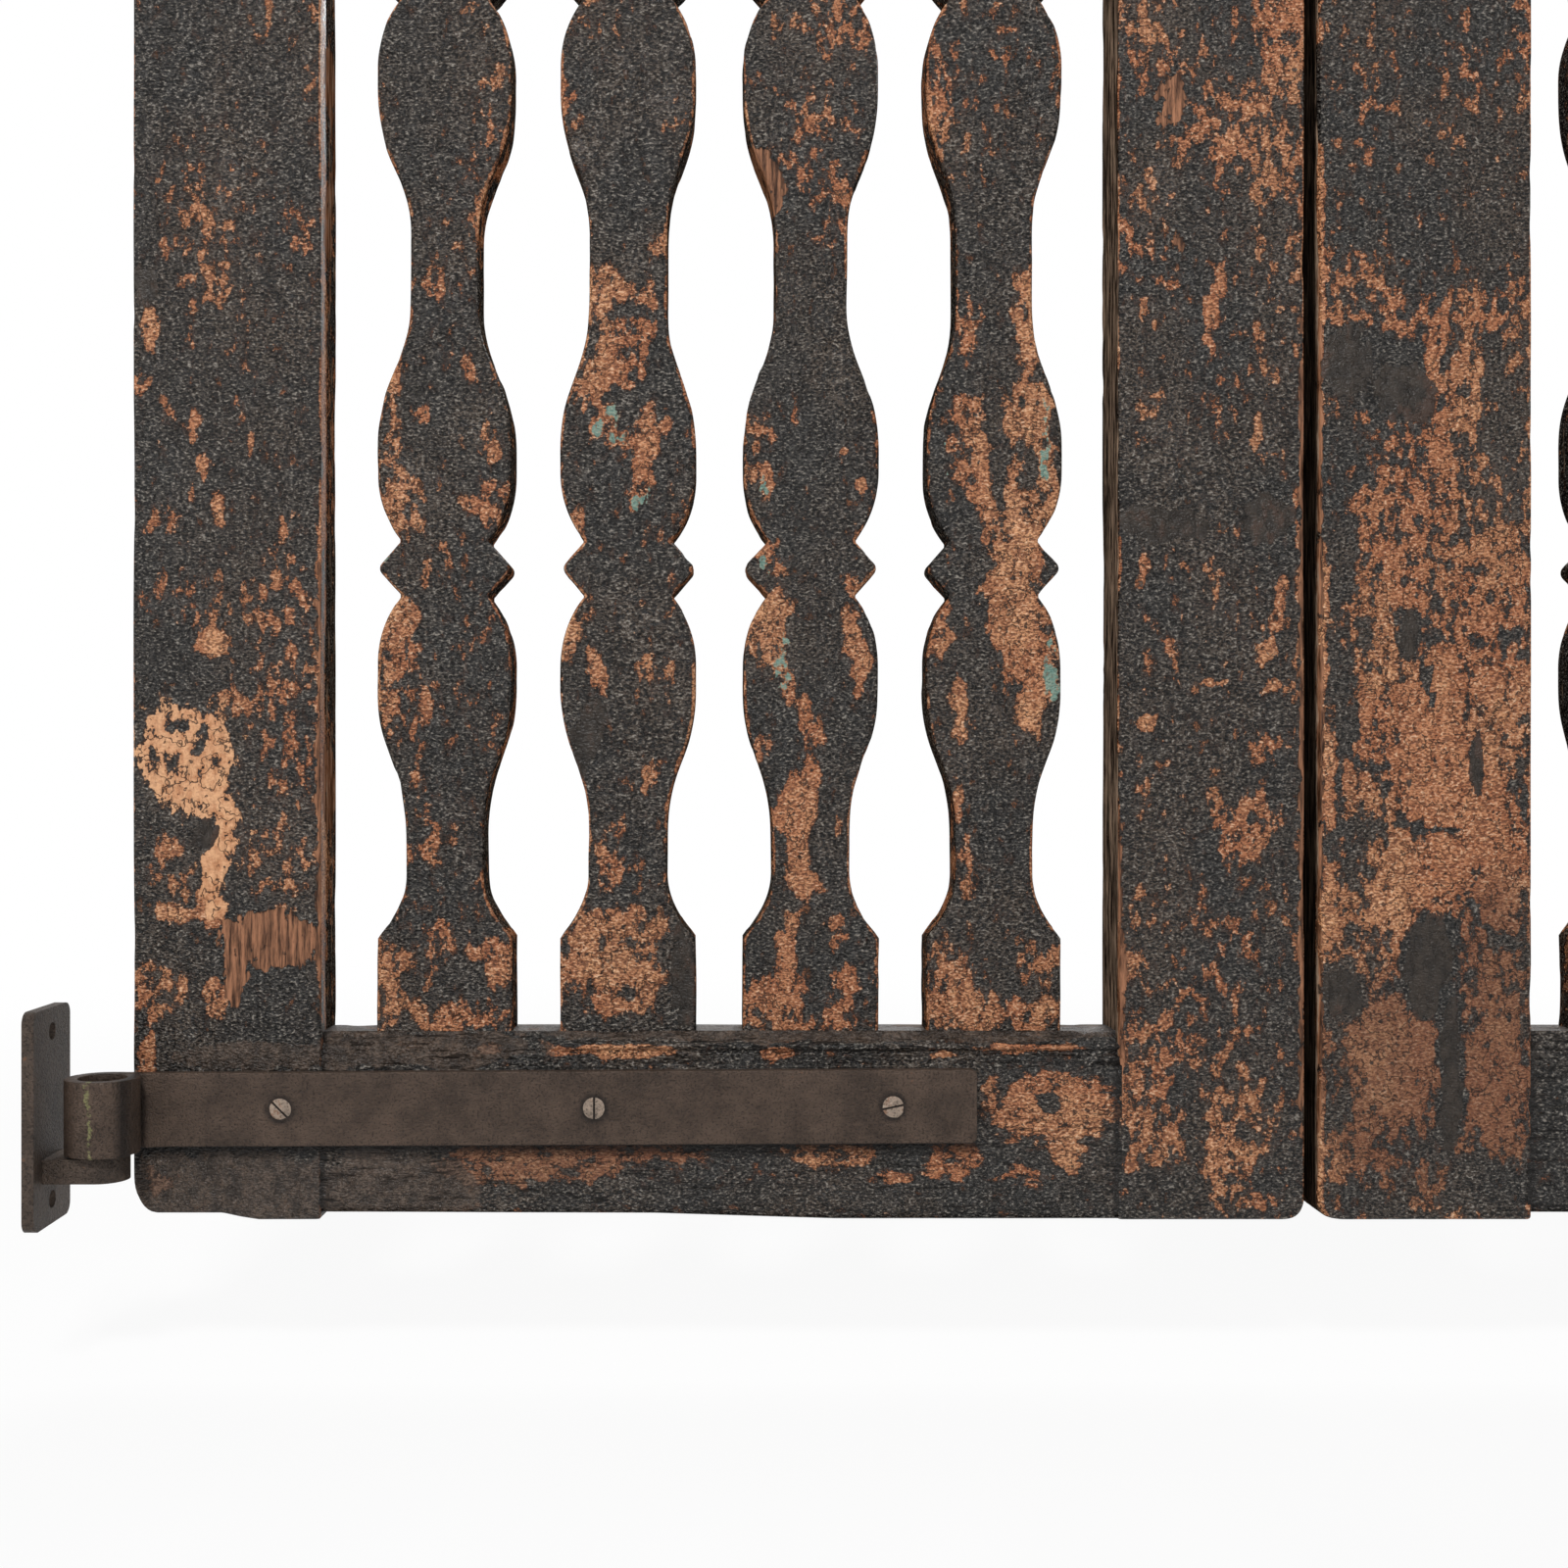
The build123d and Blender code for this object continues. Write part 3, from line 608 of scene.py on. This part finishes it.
def rail(name, body, opening, upside_down, material, wear_at, lift, seed):
    """A rail between two stiles: its moulded section swept along it, softened where it is worn."""
    depth_limit, height_limit = BACK - FRONT, RAIL_TOP - BOTTOM
    face = moulded_face()
    top = [(height_limit, depth) for depth in np.linspace(6.6, depth_limit - 6.6, 9)]
    foot = [(0.0, depth) for depth in np.linspace(2.8, depth_limit - 2.8, 11)][::-1]
    section = np.concatenate([face, top, [(h, depth_limit - d) for h, d in face[::-1]], foot])
    height, behind = section.T
    along = np.linspace(opening[0] - TENON, opening[1] + TENON, int((opening[1] - opening[0]) / 3.0) + 2)
    rows, around = len(along), len(section)

    places = np.stack([along, along * 0, along * 0], -1)
    rubbed = 0.5 + 0.5 * fractal(places, (70, 1, 1), seed + 4, 3)
    rubbed = np.clip(np.interp(along, *wear_at) + 0.35 * rubbed - 0.1, 0, 1)
    worn_slope = np.interp(height, [0, MOULDING_FOOT, 88, 95, 96], [0, 0, 2.6, 6.2, 6.5])
    from_face = np.minimum(behind, depth_limit - behind)
    softened = from_face + (worn_slope - from_face) * rubbed[:, None]
    in_front = behind < depth_limit / 2
    moulded = (height > MOULDING_FOOT) & (from_face < MOULDING_DEPTH)

    points = np.zeros((rows, around, 3))
    points[..., 0] = along[:, None]
    points[..., 1] = np.where(moulded, np.where(in_front, softened, depth_limit - softened), behind) + FRONT
    points[..., 2] = height + BOTTOM
    outward = np.zeros((rows, around, 3))
    outward[..., 1] = np.where(from_face < MOULDING_DEPTH, np.where(in_front, -1.0, 1.0), 0.0)
    outward[..., 2] = np.where(height > height_limit - 0.5, 1.0, np.where(height < 0.1, -1.0, 0.0))
    grain = np.clip(fractal(points, (120, 5, 4.5), seed + 3, 3), 0, 1)
    swell = 0.5 + 0.5 * fractal(points, (110, 45, 40), seed, 3)
    chips = smooth_step(fractal(points, (18, 12, 8), seed + 9, 2), 0.2, 0.8)
    near_top = smooth_step(points[..., 2], RAIL_TOP - 20, RAIL_TOP - 4)
    depth = 0.5 * swell + 0.9 * grain * (1 - 0.5 * near_top) + (0.3 + 0.5 * near_top) * chips
    points = points - outward * depth[..., None]
    lift_foot(points, lift, 60)

    # A fan of quads round a point in the middle closes each end
    tube = np.concatenate([points.reshape(-1, 3), [points[0].mean(0), points[-1].mean(0)]])
    if upside_down:
        tube = tube * (1, 1, -1) + (0, 0, 2 * MID_HEIGHT)
    faces, number = [skin(rows, around)], np.arange(around)
    for row, hub in ((0, rows * around), (rows - 1, rows * around + 1)):
        pairs = np.stack([number[0::2], number[1::2], (number[1::2] + 1) % around], -1) + row * around
        fan = np.concatenate([pairs, np.full((len(pairs), 1), hub)], 1)
        faces.append(fan[:, ::-1] if row == 0 else fan)

    seen = np.append((outward[..., 1] < 0).ravel(), [0, 0]) * (not upside_down)
    upward = np.append(outward[..., 2].ravel(), [-1, -1])
    fields = surface_fields(name, tube, seen, np.zeros(len(tube)), seed)
    fields["side"] = (upward < -0.5).astype(float)
    fields["grime"] = np.maximum(fields["grime"], upward > 0.5)
    to_stile = np.minimum(tube[:, 0] - opening[0], opening[1] - tube[:, 0])
    fields["gap"] = np.maximum(fields["gap"], smooth_step(-to_stile, -3.2, -0.4))
    return add_piece(name, tube, np.concatenate(faces), body, material, name, fields)


# Materials


class Nodes:
    """A material's or world's node tree, with short calls for the nodes used here."""

    def __init__(self, owner):
        owner.use_nodes = True
        self.tree = owner.node_tree
        self.tree.nodes.clear()

    def add(self, kind, inputs=None, **settings):
        """A node whose inputs are linked, or set directly where they are plain values."""
        node = self.tree.nodes.new(kind)
        for key, value in settings.items():
            setattr(node, key, value)
        for key, value in (inputs or {}).items():
            if isinstance(value, bpy.types.NodeSocket):
                self.tree.links.new(value, node.inputs[key])
            else:
                node.inputs[key].default_value = value
        return node

    def attribute(self, name):
        return self.add("ShaderNodeAttribute", attribute_name=name).outputs["Fac"]

    def stretched(self, vector, scale):
        return self.add("ShaderNodeMapping", {"Vector": vector, "Scale": scale}).outputs[0]

    def noise(self, vector, scale, detail, roughness):
        inputs = {"Vector": vector, "Scale": scale, "Detail": detail, "Roughness": roughness}
        return self.add("ShaderNodeTexNoise", inputs).outputs["Fac"]

    def math(self, operation, first, second=0.0, third=0.0):
        return self.add("ShaderNodeMath", {0: first, 1: second, 2: third}, operation=operation).outputs[0]

    def times(self, first, second):
        return self.math("MULTIPLY", first, second)

    def less(self, value, taken):
        return self.math("SUBTRACT", value, taken)

    def plus(self, value, amount, base):
        """value times amount, on top of base."""
        return self.math("MULTIPLY_ADD", value, amount, base)

    def step(self, value, low, high):
        """0 at low, 1 at high, and a smooth change between."""
        inputs = {"Value": value, "From Min": low, "From Max": high}
        return self.add("ShaderNodeMapRange", inputs, interpolation_type="SMOOTHSTEP").outputs["Result"]

    def mix(self, share, first, second):
        return self.add("ShaderNodeMix", {0: share, 6: first, 7: second}, data_type="RGBA").outputs[2]

    def blend_value(self, share, first, second):
        return self.add("ShaderNodeMix", {0: share, 2: first, 3: second}, data_type="FLOAT").outputs[0]

    def surface(self, height, strength, distance, inputs):
        """A bumpy principled surface as the material's output."""
        bump = self.add("ShaderNodeBump", {"Height": height, "Strength": strength, "Distance": distance})
        surface = self.add("ShaderNodeBsdfPrincipled", {**inputs, "Normal": bump.outputs[0]})
        output = self.add("ShaderNodeOutputMaterial")
        self.tree.links.new(surface.outputs[0], output.inputs[0])


def shade(red, green, blue, share=1.0):
    """A colour given as it looks, from 0 to 255, for a shader, and a share of its light."""
    return (*(share * (value / 255) ** 2.2 for value in (red, green, blue)), 1.0)


def painted_wood(name, grain, splits):
    """Wrinkled black paint that flakes to salmon undercoat and bare wood.

    grain is the pattern's stretch along the board, and splits is how much the wood's own cracks
    show through the paint, from 0 to 1."""
    material = bpy.data.materials.new(name)
    nodes = Nodes(material)
    times, plus, step, mix = nodes.times, nodes.plus, nodes.step, nodes.mix
    fields = ("bare", "tone", "side", "wood", "patch", "teal", "grime", "dull", "gap")
    bare, tone, side, wood, patch, teal, grime, dull, gap = (nodes.attribute(kind) for kind in fields)
    place = nodes.add("ShaderNodeTexCoord").outputs["Object"]
    hanging = nodes.stretched(place, tuple(max(value, 0.65) for value in grain))

    # Patterns: ragged outlines, small wrinkles in the paint, and the grain of the wood
    middling = nodes.noise(hanging, 170.0, 5.0, 0.62)
    wrinkle = nodes.noise(nodes.stretched(place, (0.6, 1.0, 1.0)), 860.0, 1.5, 0.65)
    grained = nodes.noise(nodes.stretched(place, grain), 430.0, 4.0, 0.7)
    ragged = nodes.less(middling, 0.5)
    # Where the wrinkles get painted shade in their valleys and painted highlights on their crests
    valley_shade, crest_glint = step(wrinkle, 0.53, 0.4), step(wrinkle, 0.55, 0.72)

    # Where each layer shows
    worn = plus(ragged, 6.0, plus(nodes.less(wrinkle, 0.5), 1.0, bare))
    mended = step(plus(ragged, 2.6, patch), 0.48, 0.54)
    sound = nodes.less(1.0, mended)
    flaked = times(step(worn, 0.0, 0.1), sound)
    to_wood = times(step(plus(ragged, 3.2, wood), 0.5, 0.65), sound)
    weathered = step(plus(nodes.less(grained, 0.5), 2.0, side), 0.5, 0.75)
    flat = step(plus(ragged, 1.5, nodes.attribute("tan")), 0.35, 0.6)
    creased = nodes.less(1.0, times(flat, 0.8))

    # Black paint: small level wrinkles, with painted highlights on their crests and painted shade between
    # them
    black = mix(step(tone, -0.4, 0.4), shade(55, 53, 51), shade(72, 62, 54))
    black = mix(step(middling, 0.42, 0.62), black, shade(42, 38, 35))
    black = mix(crest_glint, black, shade(132, 126, 118))
    black = mix(valley_shade, black, shade(16, 14, 13))
    filler = mix(step(middling, 0.35, 0.65), shade(39, 34, 30), shade(55, 48, 42))
    black = mix(mended, black, filler)
    black = mix(times(step(worn, -0.6, 0.0), 0.6), black, shade(66, 48, 39))

    # Undercoat: salmon to tan, darker near its rims, with painted highlights on its wrinkles' crests and
    # painted shade in their valleys, and cracked
    coat = mix(step(worn, 0.0, 1.8), shade(154, 102, 70), shade(204, 148, 107))
    coat = mix(times(step(tone, 0.35, -0.35), 0.5), coat, shade(156, 90, 58))
    tan = mix(step(middling, 0.38, 0.6), shade(180, 124, 86), shade(218, 168, 127))
    coat = mix(times(flat, 0.75), coat, tan)
    coat = mix(times(crest_glint, times(creased, 0.65)), coat, shade(228, 190, 158))
    coat = mix(times(valley_shade, times(creased, 0.75)), coat, shade(84, 50, 37))
    coat = mix(times(dull, 0.6), coat, shade(92, 62, 48))
    lines = nodes.math("ABSOLUTE", nodes.less(nodes.noise(place, 90.0, 3.0, 0.6), 0.5))
    cracked = nodes.less(1.0, step(lines, 0.004, 0.018))
    coat = mix(times(cracked, 0.85), coat, shade(50, 37, 31))
    greened = step(plus(ragged, 4.0, teal), 0.85, 1.1)
    coat = mix(times(greened, 0.8), coat, shade(104, 146, 136))

    # Bare wood: reddish brown with grain, and greyer on the boards' sides
    timber = mix(step(grained, 0.34, 0.68), shade(58, 38, 27), shade(158, 110, 82))
    side_timber = mix(step(grained, 0.4, 0.66), shade(40, 34, 30), shade(150, 126, 106))
    soil_and_shade = mix(step(middling, 0.36, 0.64), shade(56, 47, 41), shade(92, 78, 68))
    # The soil colour gets painted shade in the wrinkles' valleys
    soil_and_shade = mix(times(valley_shade, 0.6), soil_and_shade, shade(36, 30, 26))

    colour = mix(flaked, black, coat)
    colour = mix(to_wood, colour, timber)
    colour = mix(weathered, colour, side_timber)
    colour = mix(times(step(plus(ragged, 2.0, grime), 0.35, 0.7), 0.85), colour, soil_and_shade)
    split = times(step(grained, 0.42, 0.33), splits)
    colour = mix(split, colour, shade(24, 19, 16))
    # Painted shade: dark under the straps and on the face in the narrow gap between the leaves, and dark
    # joint lines at the rails' ends
    colour = mix(times(gap, 0.85), colour, shade(20, 16, 14))

    to_grain = nodes.math("MAXIMUM", to_wood, weathered)
    calm = nodes.math("MAXIMUM", step(tone, 0.3, 0.55), mended)
    film = times(nodes.less(1.0, flaked), 0.6)
    paint_height = plus(wrinkle, times(nodes.blend_value(calm, 1.0, 0.4), creased), film)
    paint_height = plus(cracked, -0.25, paint_height)
    height = nodes.blend_value(to_grain, paint_height, times(grained, 0.5))
    height = plus(split, -0.8, plus(middling, 0.8, height))
    gloss = nodes.blend_value(to_grain, nodes.blend_value(flaked, 0.34, 0.5), 0.72)
    specular = nodes.blend_value(step(side, 0.0, 0.25), 0.3, 0.0)
    inputs = {"Base Color": colour, "Roughness": gloss, "Specular IOR Level": specular}
    nodes.surface(height, 1.0, 0.002, inputs)
    return material


def old_iron(name, skin_tone, rust_share):
    """Forged iron: dark skin with pits, and rust of two browns."""
    material = bpy.data.materials.new(name)
    nodes = Nodes(material)
    times, plus, step, mix = nodes.times, nodes.plus, nodes.step, nodes.mix
    place = nodes.add("ShaderNodeTexCoord").outputs["Object"]
    broad = nodes.noise(place, 48.0, 5.0, 0.68)
    fine = nodes.noise(place, 900.0, 2.0, 0.6)
    worn = nodes.noise(place, 330.0, 4.0, 0.7)
    dim, pale = shade(*skin_tone, 0.66), shade(*skin_tone, 1.4)
    colour = mix(step(broad, 0.32, 0.68), dim, pale)
    colour = mix(times(step(worn, 0.45, 0.7), 0.6), colour, pale)
    colour = mix(times(step(fine, 0.5, 0.3), 0.6), colour, shade(22, 18, 16))
    rusted = step(plus(worn, 0.7, broad), 1.02 - rust_share, 1.16 - rust_share)
    rust = mix(step(worn, 0.4, 0.65), shade(84, 55, 41), shade(124, 84, 60))
    colour = mix(times(rusted, 0.7), colour, rust)
    # Painted shade round the screws, in the corner by the eye and along the strap's lower edge
    colour = mix(times(nodes.attribute("painted_shade"), 0.85), colour, shade(24, 19, 17))
    stained = plus(nodes.less(worn, 0.5), 2.0, nodes.attribute("green"))
    colour = mix(times(step(stained, 0.6, 0.8), 0.7), colour, shade(128, 128, 88))
    height = plus(worn, 1.2, step(fine, 0.32, 0.55))
    gloss = nodes.blend_value(rusted, plus(worn, 0.25, 0.34), 0.75)
    inputs = {"Base Color": colour, "Roughness": gloss, "Metallic": 0.1, "Specular IOR Level": 0.25}
    nodes.surface(height, 0.8, 0.0005, inputs)
    return material


# Ironwork


def strap(name, body, eye_x, towards, height, material, seed):
    """A strap hinge: a flat bar along the front, rolled forward round the eye at its outer end."""
    corner_steps = 3.0 * (1 - np.cos(np.linspace(0, 1, 6) * tau / 4))
    bar = np.linspace(STRAP_LENGTH, 0, 190)[:-1]
    bar = np.concatenate([STRAP_LENGTH - corner_steps, bar[bar < STRAP_LENGTH - 3.2]])
    turns = np.linspace(0, 1, 44)
    flat_rows, rows = len(bar), len(bar) + len(turns)
    taper = np.zeros(rows)
    taper[: len(corner_steps)] = 3.0 - np.sqrt(9 - (3.0 - corner_steps) ** 2)
    half, level = STRAP_HALF_HEIGHT - taper, np.zeros(rows)
    # a is height on the strap, b is the place in its thickness from the outer face inwards
    rings, normals = rounded_section(
        -half, half, level, level + STRAP_THICKNESS, np.full((rows, 4), 0.9), 15, 2
    )
    around = rings.shape[1]
    radius = EYE_BORE + np.clip(rings[flat_rows:, :, 1], 0, STRAP_THICKNESS)
    end_turn = tau + np.arcsin(10.8 / radius)
    turn = tau / 4 + turns[:, None] * (end_turn - tau / 4)
    thick = normals[None, :, 1]
    points, outward = np.zeros((rows, around, 3)), np.zeros((rows, around, 3))
    points[:flat_rows, :, 0] = bar[:, None]
    points[:flat_rows, :, 1] = EYE_BORE + rings[:flat_rows, :, 1]
    points[flat_rows:, :, 0] = radius * np.cos(turn)
    points[flat_rows:, :, 1] = radius * np.sin(turn)
    points[..., 2] = rings[..., 0]
    outward[..., 2] = normals[None, :, 0]
    outward[:flat_rows, :, 1] = thick
    outward[flat_rows:, :, 0] = thick * np.cos(turn)
    outward[flat_rows:, :, 1] = thick * np.sin(turn)

    # Dents everywhere but on the flat back and inside the eye
    rise = np.clip(points[..., 0], 0, None) * STRAP_RISE
    flat_part = points[..., 0] > 22
    dents = 0.5 + 0.5 * fractal(points, (26, 26, 16), seed, 3)
    nicks = smooth_step(fractal(points, (9, 9, 9), seed + 2, 2), 0.25, 0.8)
    depth = np.where((outward[..., 1] > 0.5) & flat_part, 0.05, 0.32 * dents + 0.3 * nicks)
    in_eye = (np.arange(rows)[:, None] >= flat_rows) & (thick < -0.5)
    depth = np.where(in_eye, 0.1 * dents - 0.1, depth)
    points = points - outward * depth[..., None]
    points[..., 2] += np.where(flat_part, rise, 0)

    # Painted shade round the screws, in the corner by the eye and along the lower edge
    x, z = points[..., 0], points[..., 2]
    from_screws = [np.hypot(x - inset, z - inset * STRAP_RISE) for inset in SCREW_INSETS]
    painted_shade = smooth_step(-np.min(from_screws, axis=0), -8.6, -6.2)
    painted_shade = np.maximum(painted_shade, smooth_step(x, 11.0, 13.0) * smooth_step(-x, -19.0, -14.0))
    painted_shade = np.maximum(painted_shade, smooth_step(-outward[..., 2], 0.1, 0.6) * flat_part)
    streak = smooth_step(-np.abs(x + 1.0 + 0.05 * z), -3.4, -0.6) * (points[..., 1] < 0)
    points = points * (towards, 1, 1) + (eye_x, 0, height)
    tube, faces = closed_tube(points, 15, 2 * ARC + 2)
    fields = {"painted_shade": np.zeros(len(tube)), "green": np.zeros(len(tube))}
    fields["painted_shade"][: painted_shade.size] = (painted_shade * (outward[..., 1] < 0.5)).ravel()
    fields["green"][: streak.size] = streak.ravel() * (0.75 if name == "left_lower_strap" else 0.0)
    return add_piece(name, tube, faces, body, material, name, fields, crease=40)


def flat_ended(rings):
    """Points and quads of a tube whose end rings are an upper row and a lower row, closed by strips."""
    rows, around, _ = rings.shape
    column = np.arange(around // 2 - 1)
    strip = np.stack([column, column + 1, around - 2 - column, around - 1 - column], -1)
    ends = [strip[:, ::-1], strip + (rows - 1) * around]
    return rings.reshape(-1, 3), np.concatenate([skin(rows, around), *ends])


def screw(name, body, x, z, turn, material):
    """A slotted countersunk screw head, as sections from one side of the slot to the other."""
    radius, slot, slot_depth, dome_height, steps = 5.7, 0.55, 0.95, 0.55, 18
    strap_face = EYE_BORE + 0.25
    across = [-radius * np.cos(a) for a in np.linspace(0.12, 1, 9) * tau / 4]
    across = [v for v in across if v < -slot - 0.3] + [-slot, -slot + 0.02]
    across = np.array(across + [-v for v in across[::-1]])
    rings = []
    for v in across:
        half = np.sqrt(max(radius**2 - v**2, 0.05))
        u = np.linspace(-half, half, steps + 1)
        dome = dome_height * (1 - (u**2 + v**2) / radius**2)
        if abs(v) < slot - 0.01:
            dome = dome - slot_depth
        upper = np.stack([u, np.full(steps + 1, v), dome], -1)
        lower = np.stack([u[::-1], np.full(steps + 1, v), np.full(steps + 1, -1.6)], -1)
        rings.append(np.concatenate([upper, lower]))
    points, faces = flat_ended(np.array(rings))
    angle = radians(turn)
    u, v, rise = points.T
    place_x = x + u * np.cos(angle) - v * np.sin(angle)
    place_z = z + u * np.sin(angle) + v * np.cos(angle)
    placed = np.stack([place_x, strap_face - rise, place_z], -1)
    return add_piece(name, placed, faces, body, material, crease=35)


# The scene

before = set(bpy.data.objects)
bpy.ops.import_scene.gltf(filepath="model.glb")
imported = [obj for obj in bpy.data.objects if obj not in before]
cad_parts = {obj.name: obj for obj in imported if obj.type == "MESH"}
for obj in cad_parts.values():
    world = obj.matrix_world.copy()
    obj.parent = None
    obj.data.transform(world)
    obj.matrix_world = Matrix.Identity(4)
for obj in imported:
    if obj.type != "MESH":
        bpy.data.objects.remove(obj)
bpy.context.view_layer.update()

upright_paint = painted_wood("worn_paint_upright", (1.0, 1.0, 0.09), 0.12)
level_paint = painted_wood("worn_paint_level", (0.09, 1.0, 1.0), 0.75)
strap_iron = old_iron("strap_iron", (73, 61, 53), -0.04)
pintle_iron = old_iron("pintle_iron", (70, 60, 53), 0.02)
screw_iron = old_iron("screw_iron", (150, 134, 120), 0.16)

stile_look = {"columns": 32, "flat": 9, "radii": (1.6, 1.6, 1.4, 1.4), "material": upright_paint}
# The left stile's foot has worn upwards beside a step that is left of its old length
left_lift = ([40, 86, 95, 104, 136, 140, 160], [3.4, 3.4, 1.4, 0.0, 0.0, 3.0, 3.4])
left_look = {**stile_look, "lift": left_lift, "worn_side": 1}
stile("left_hinge_stile", "left_leaf", 40.0, 136.5, (12.5, 20.0), left_look, 11)
meeting_look = {**stile_look, "gap_side": 1}
stile("left_meeting_stile", "left_leaf", 638.5, 542.5, (10.0, 10.0), meeting_look, 12)
wide_look = {**stile_look, "columns": 36, "radii": (4.6, 1.6, 1.4, 1.4), "gap_side": -1}
stile("right_meeting_stile", "right_leaf", 644.5, 754.5, (10.0, 10.0), wide_look, 13)
right_look = {**stile_look, "worn_side": -1}
stile("right_hinge_stile", "right_leaf", 1257.0, 1160.5, (12.0, 12.0), right_look, 14)

for leaf, opening, first_seed in (("left", LEFT_OPENING, 100), ("right", RIGHT_OPENING, 200)):
    middle = sum(opening) / 2
    for number in range(4):
        piece, place = f"{leaf}_baluster_{number + 1}", middle + (number - 1.5) * BALUSTER_SPACING
        baluster(piece, f"{leaf}_leaf", place, upright_paint, first_seed + 9 * number)
    # How worn a rail's moulding is, and how far its foot has worn upwards, along X
    worn_at = ([opening[0], opening[0] + 100, opening[0] + 140], [1.0, 0.9, 0.1])
    lift = ([opening[0], opening[0] + 170, opening[0] + 262, opening[1]], [3.6, 3.1, 0.3, 0.3])
    rail(f"{leaf}_bottom_rail", f"{leaf}_leaf", opening, False, level_paint, worn_at, lift, first_seed + 61)
    rail(f"{leaf}_top_rail", f"{leaf}_leaf", opening, True, level_paint, worn_at, lift, first_seed + 71)
    axis, towards = (LEFT_AXIS, 1) if leaf == "left" else (RIGHT_AXIS, -1)
    for height, level in zip(("lower", "upper"), STRAP_LEVELS):
        strap(f"{leaf}_{height}_strap", f"{leaf}_leaf", axis, towards, level, strap_iron, first_seed + 81)
        for number, (inset, turn) in enumerate(zip(SCREW_INSETS, (-45, 90, 12)), start=1):
            piece = f"{leaf}_{height}_screw_{number}"
            place = axis + towards * inset
            screw(piece, f"{leaf}_leaf", place, level + inset * STRAP_RISE, turn * towards, screw_iron)

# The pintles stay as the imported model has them, in iron
for node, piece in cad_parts.items():
    if "pintle" in node:
        piece.data.materials.clear()
        piece.data.materials.append(pintle_iron)

# Camera, floor and light, in metres

camera_data = bpy.data.cameras.new("camera")
camera_data.sensor_width = SENSOR
camera_data.lens = SENSOR * FOCAL_PIXELS / PHOTO_SIZE
camera_data.shift_x = (PHOTO_SIZE / 2 - AHEAD[0]) / PHOTO_SIZE
camera = bpy.data.objects.new("camera", camera_data)
camera.location = tuple(value * MM for value in CAMERA)
camera.rotation_euler = (radians(90), 0, 0)
bpy.context.scene.collection.objects.link(camera)
bpy.context.scene.camera = camera


def seen_directly(nodes):
    """1 for camera rays and rays through glass, a half for glossy rays, and 0 for the light's own rays."""
    path = nodes.add("ShaderNodeLightPath").outputs
    glossy = nodes.times(path["Is Glossy Ray"], 0.5)
    direct = nodes.math("MAXIMUM", path["Is Camera Ray"], glossy)
    return nodes.math("MAXIMUM", direct, path["Is Transmission Ray"])


def white_floor():
    """A pale floor that the camera sees as white, with a faint shadow of the object."""
    material = bpy.data.materials.new("floor")
    nodes = Nodes(material)
    lit = nodes.add("ShaderNodeBsdfDiffuse", {"Color": (0.8, 0.8, 0.8, 1.0)})
    plain = nodes.add("ShaderNodeEmission", {"Color": (1.0, 1.0, 1.0, 1.0), "Strength": 1.0})
    place = nodes.add("ShaderNodeTexCoord").outputs["Object"]
    away = nodes.add("ShaderNodeVectorMath", {0: place, 1: (0.65, 0.0, 0.0)}, operation="DISTANCE")
    plainness = nodes.step(away.outputs["Value"], 0.7, 2.2)
    share = nodes.times(seen_directly(nodes), nodes.blend_value(plainness, 0.9, 1.0))
    mixed = nodes.add("ShaderNodeMixShader", {0: share, 1: lit.outputs[0], 2: plain.outputs[0]})
    output = nodes.add("ShaderNodeOutputMaterial")
    nodes.tree.links.new(mixed.outputs[0], output.inputs[0])
    return material


floor_mesh = bpy.data.meshes.new("floor")
level = (BOTTOM - 75) * MM
corners = [(-14, -6, level), (15, -6, level), (15, 22, level), (-14, 22, level)]
floor_mesh.from_pydata(corners, [], [(0, 1, 2, 3)])
floor_mesh.materials.append(white_floor())
floor = bpy.data.objects.new("floor", floor_mesh)
bpy.context.scene.collection.objects.link(floor)

world = bpy.data.worlds.new("studio")
bpy.context.scene.world = world
sky = Nodes(world)
strength = sky.blend_value(seen_directly(sky), 0.13, 1.0)
background = sky.add("ShaderNodeBackground", {"Color": (1.0, 1.0, 1.0, 1.0), "Strength": strength})
world_output = sky.add("ShaderNodeOutputWorld")
sky.tree.links.new(background.outputs[0], world_output.inputs[0])


def lamp(name, location, aim, size, power):
    """A square area light in metres, turned towards a point."""
    data = bpy.data.lights.new(name, "AREA")
    data.shape = "RECTANGLE"
    data.size, data.size_y = size
    data.energy = power
    light = bpy.data.objects.new(name, data)
    light.location = location
    direction = np.array(aim) - np.array(location)
    light.rotation_euler = Vector(direction).to_track_quat("-Z", "Y").to_euler()
    bpy.context.scene.collection.objects.link(light)


lamp("key", (0.1, -1.8, 2.1), (0.6, 0.0, 0.35), (0.5, 0.4), 54)
lamp("fill", (2.1, -1.9, 0.7), (0.6, 0.0, 0.3), (1.0, 1.0), 9)
lamp("side", (-1.4, -1.2, 0.6), (0.6, 0.0, 0.3), (0.8, 0.8), 9)
lamp("back", (0.9, 2.2, 2.0), (0.6, 0.0, 0.4), (1.2, 1.0), 50)

bpy.context.scene.view_settings.view_transform = "Standard"
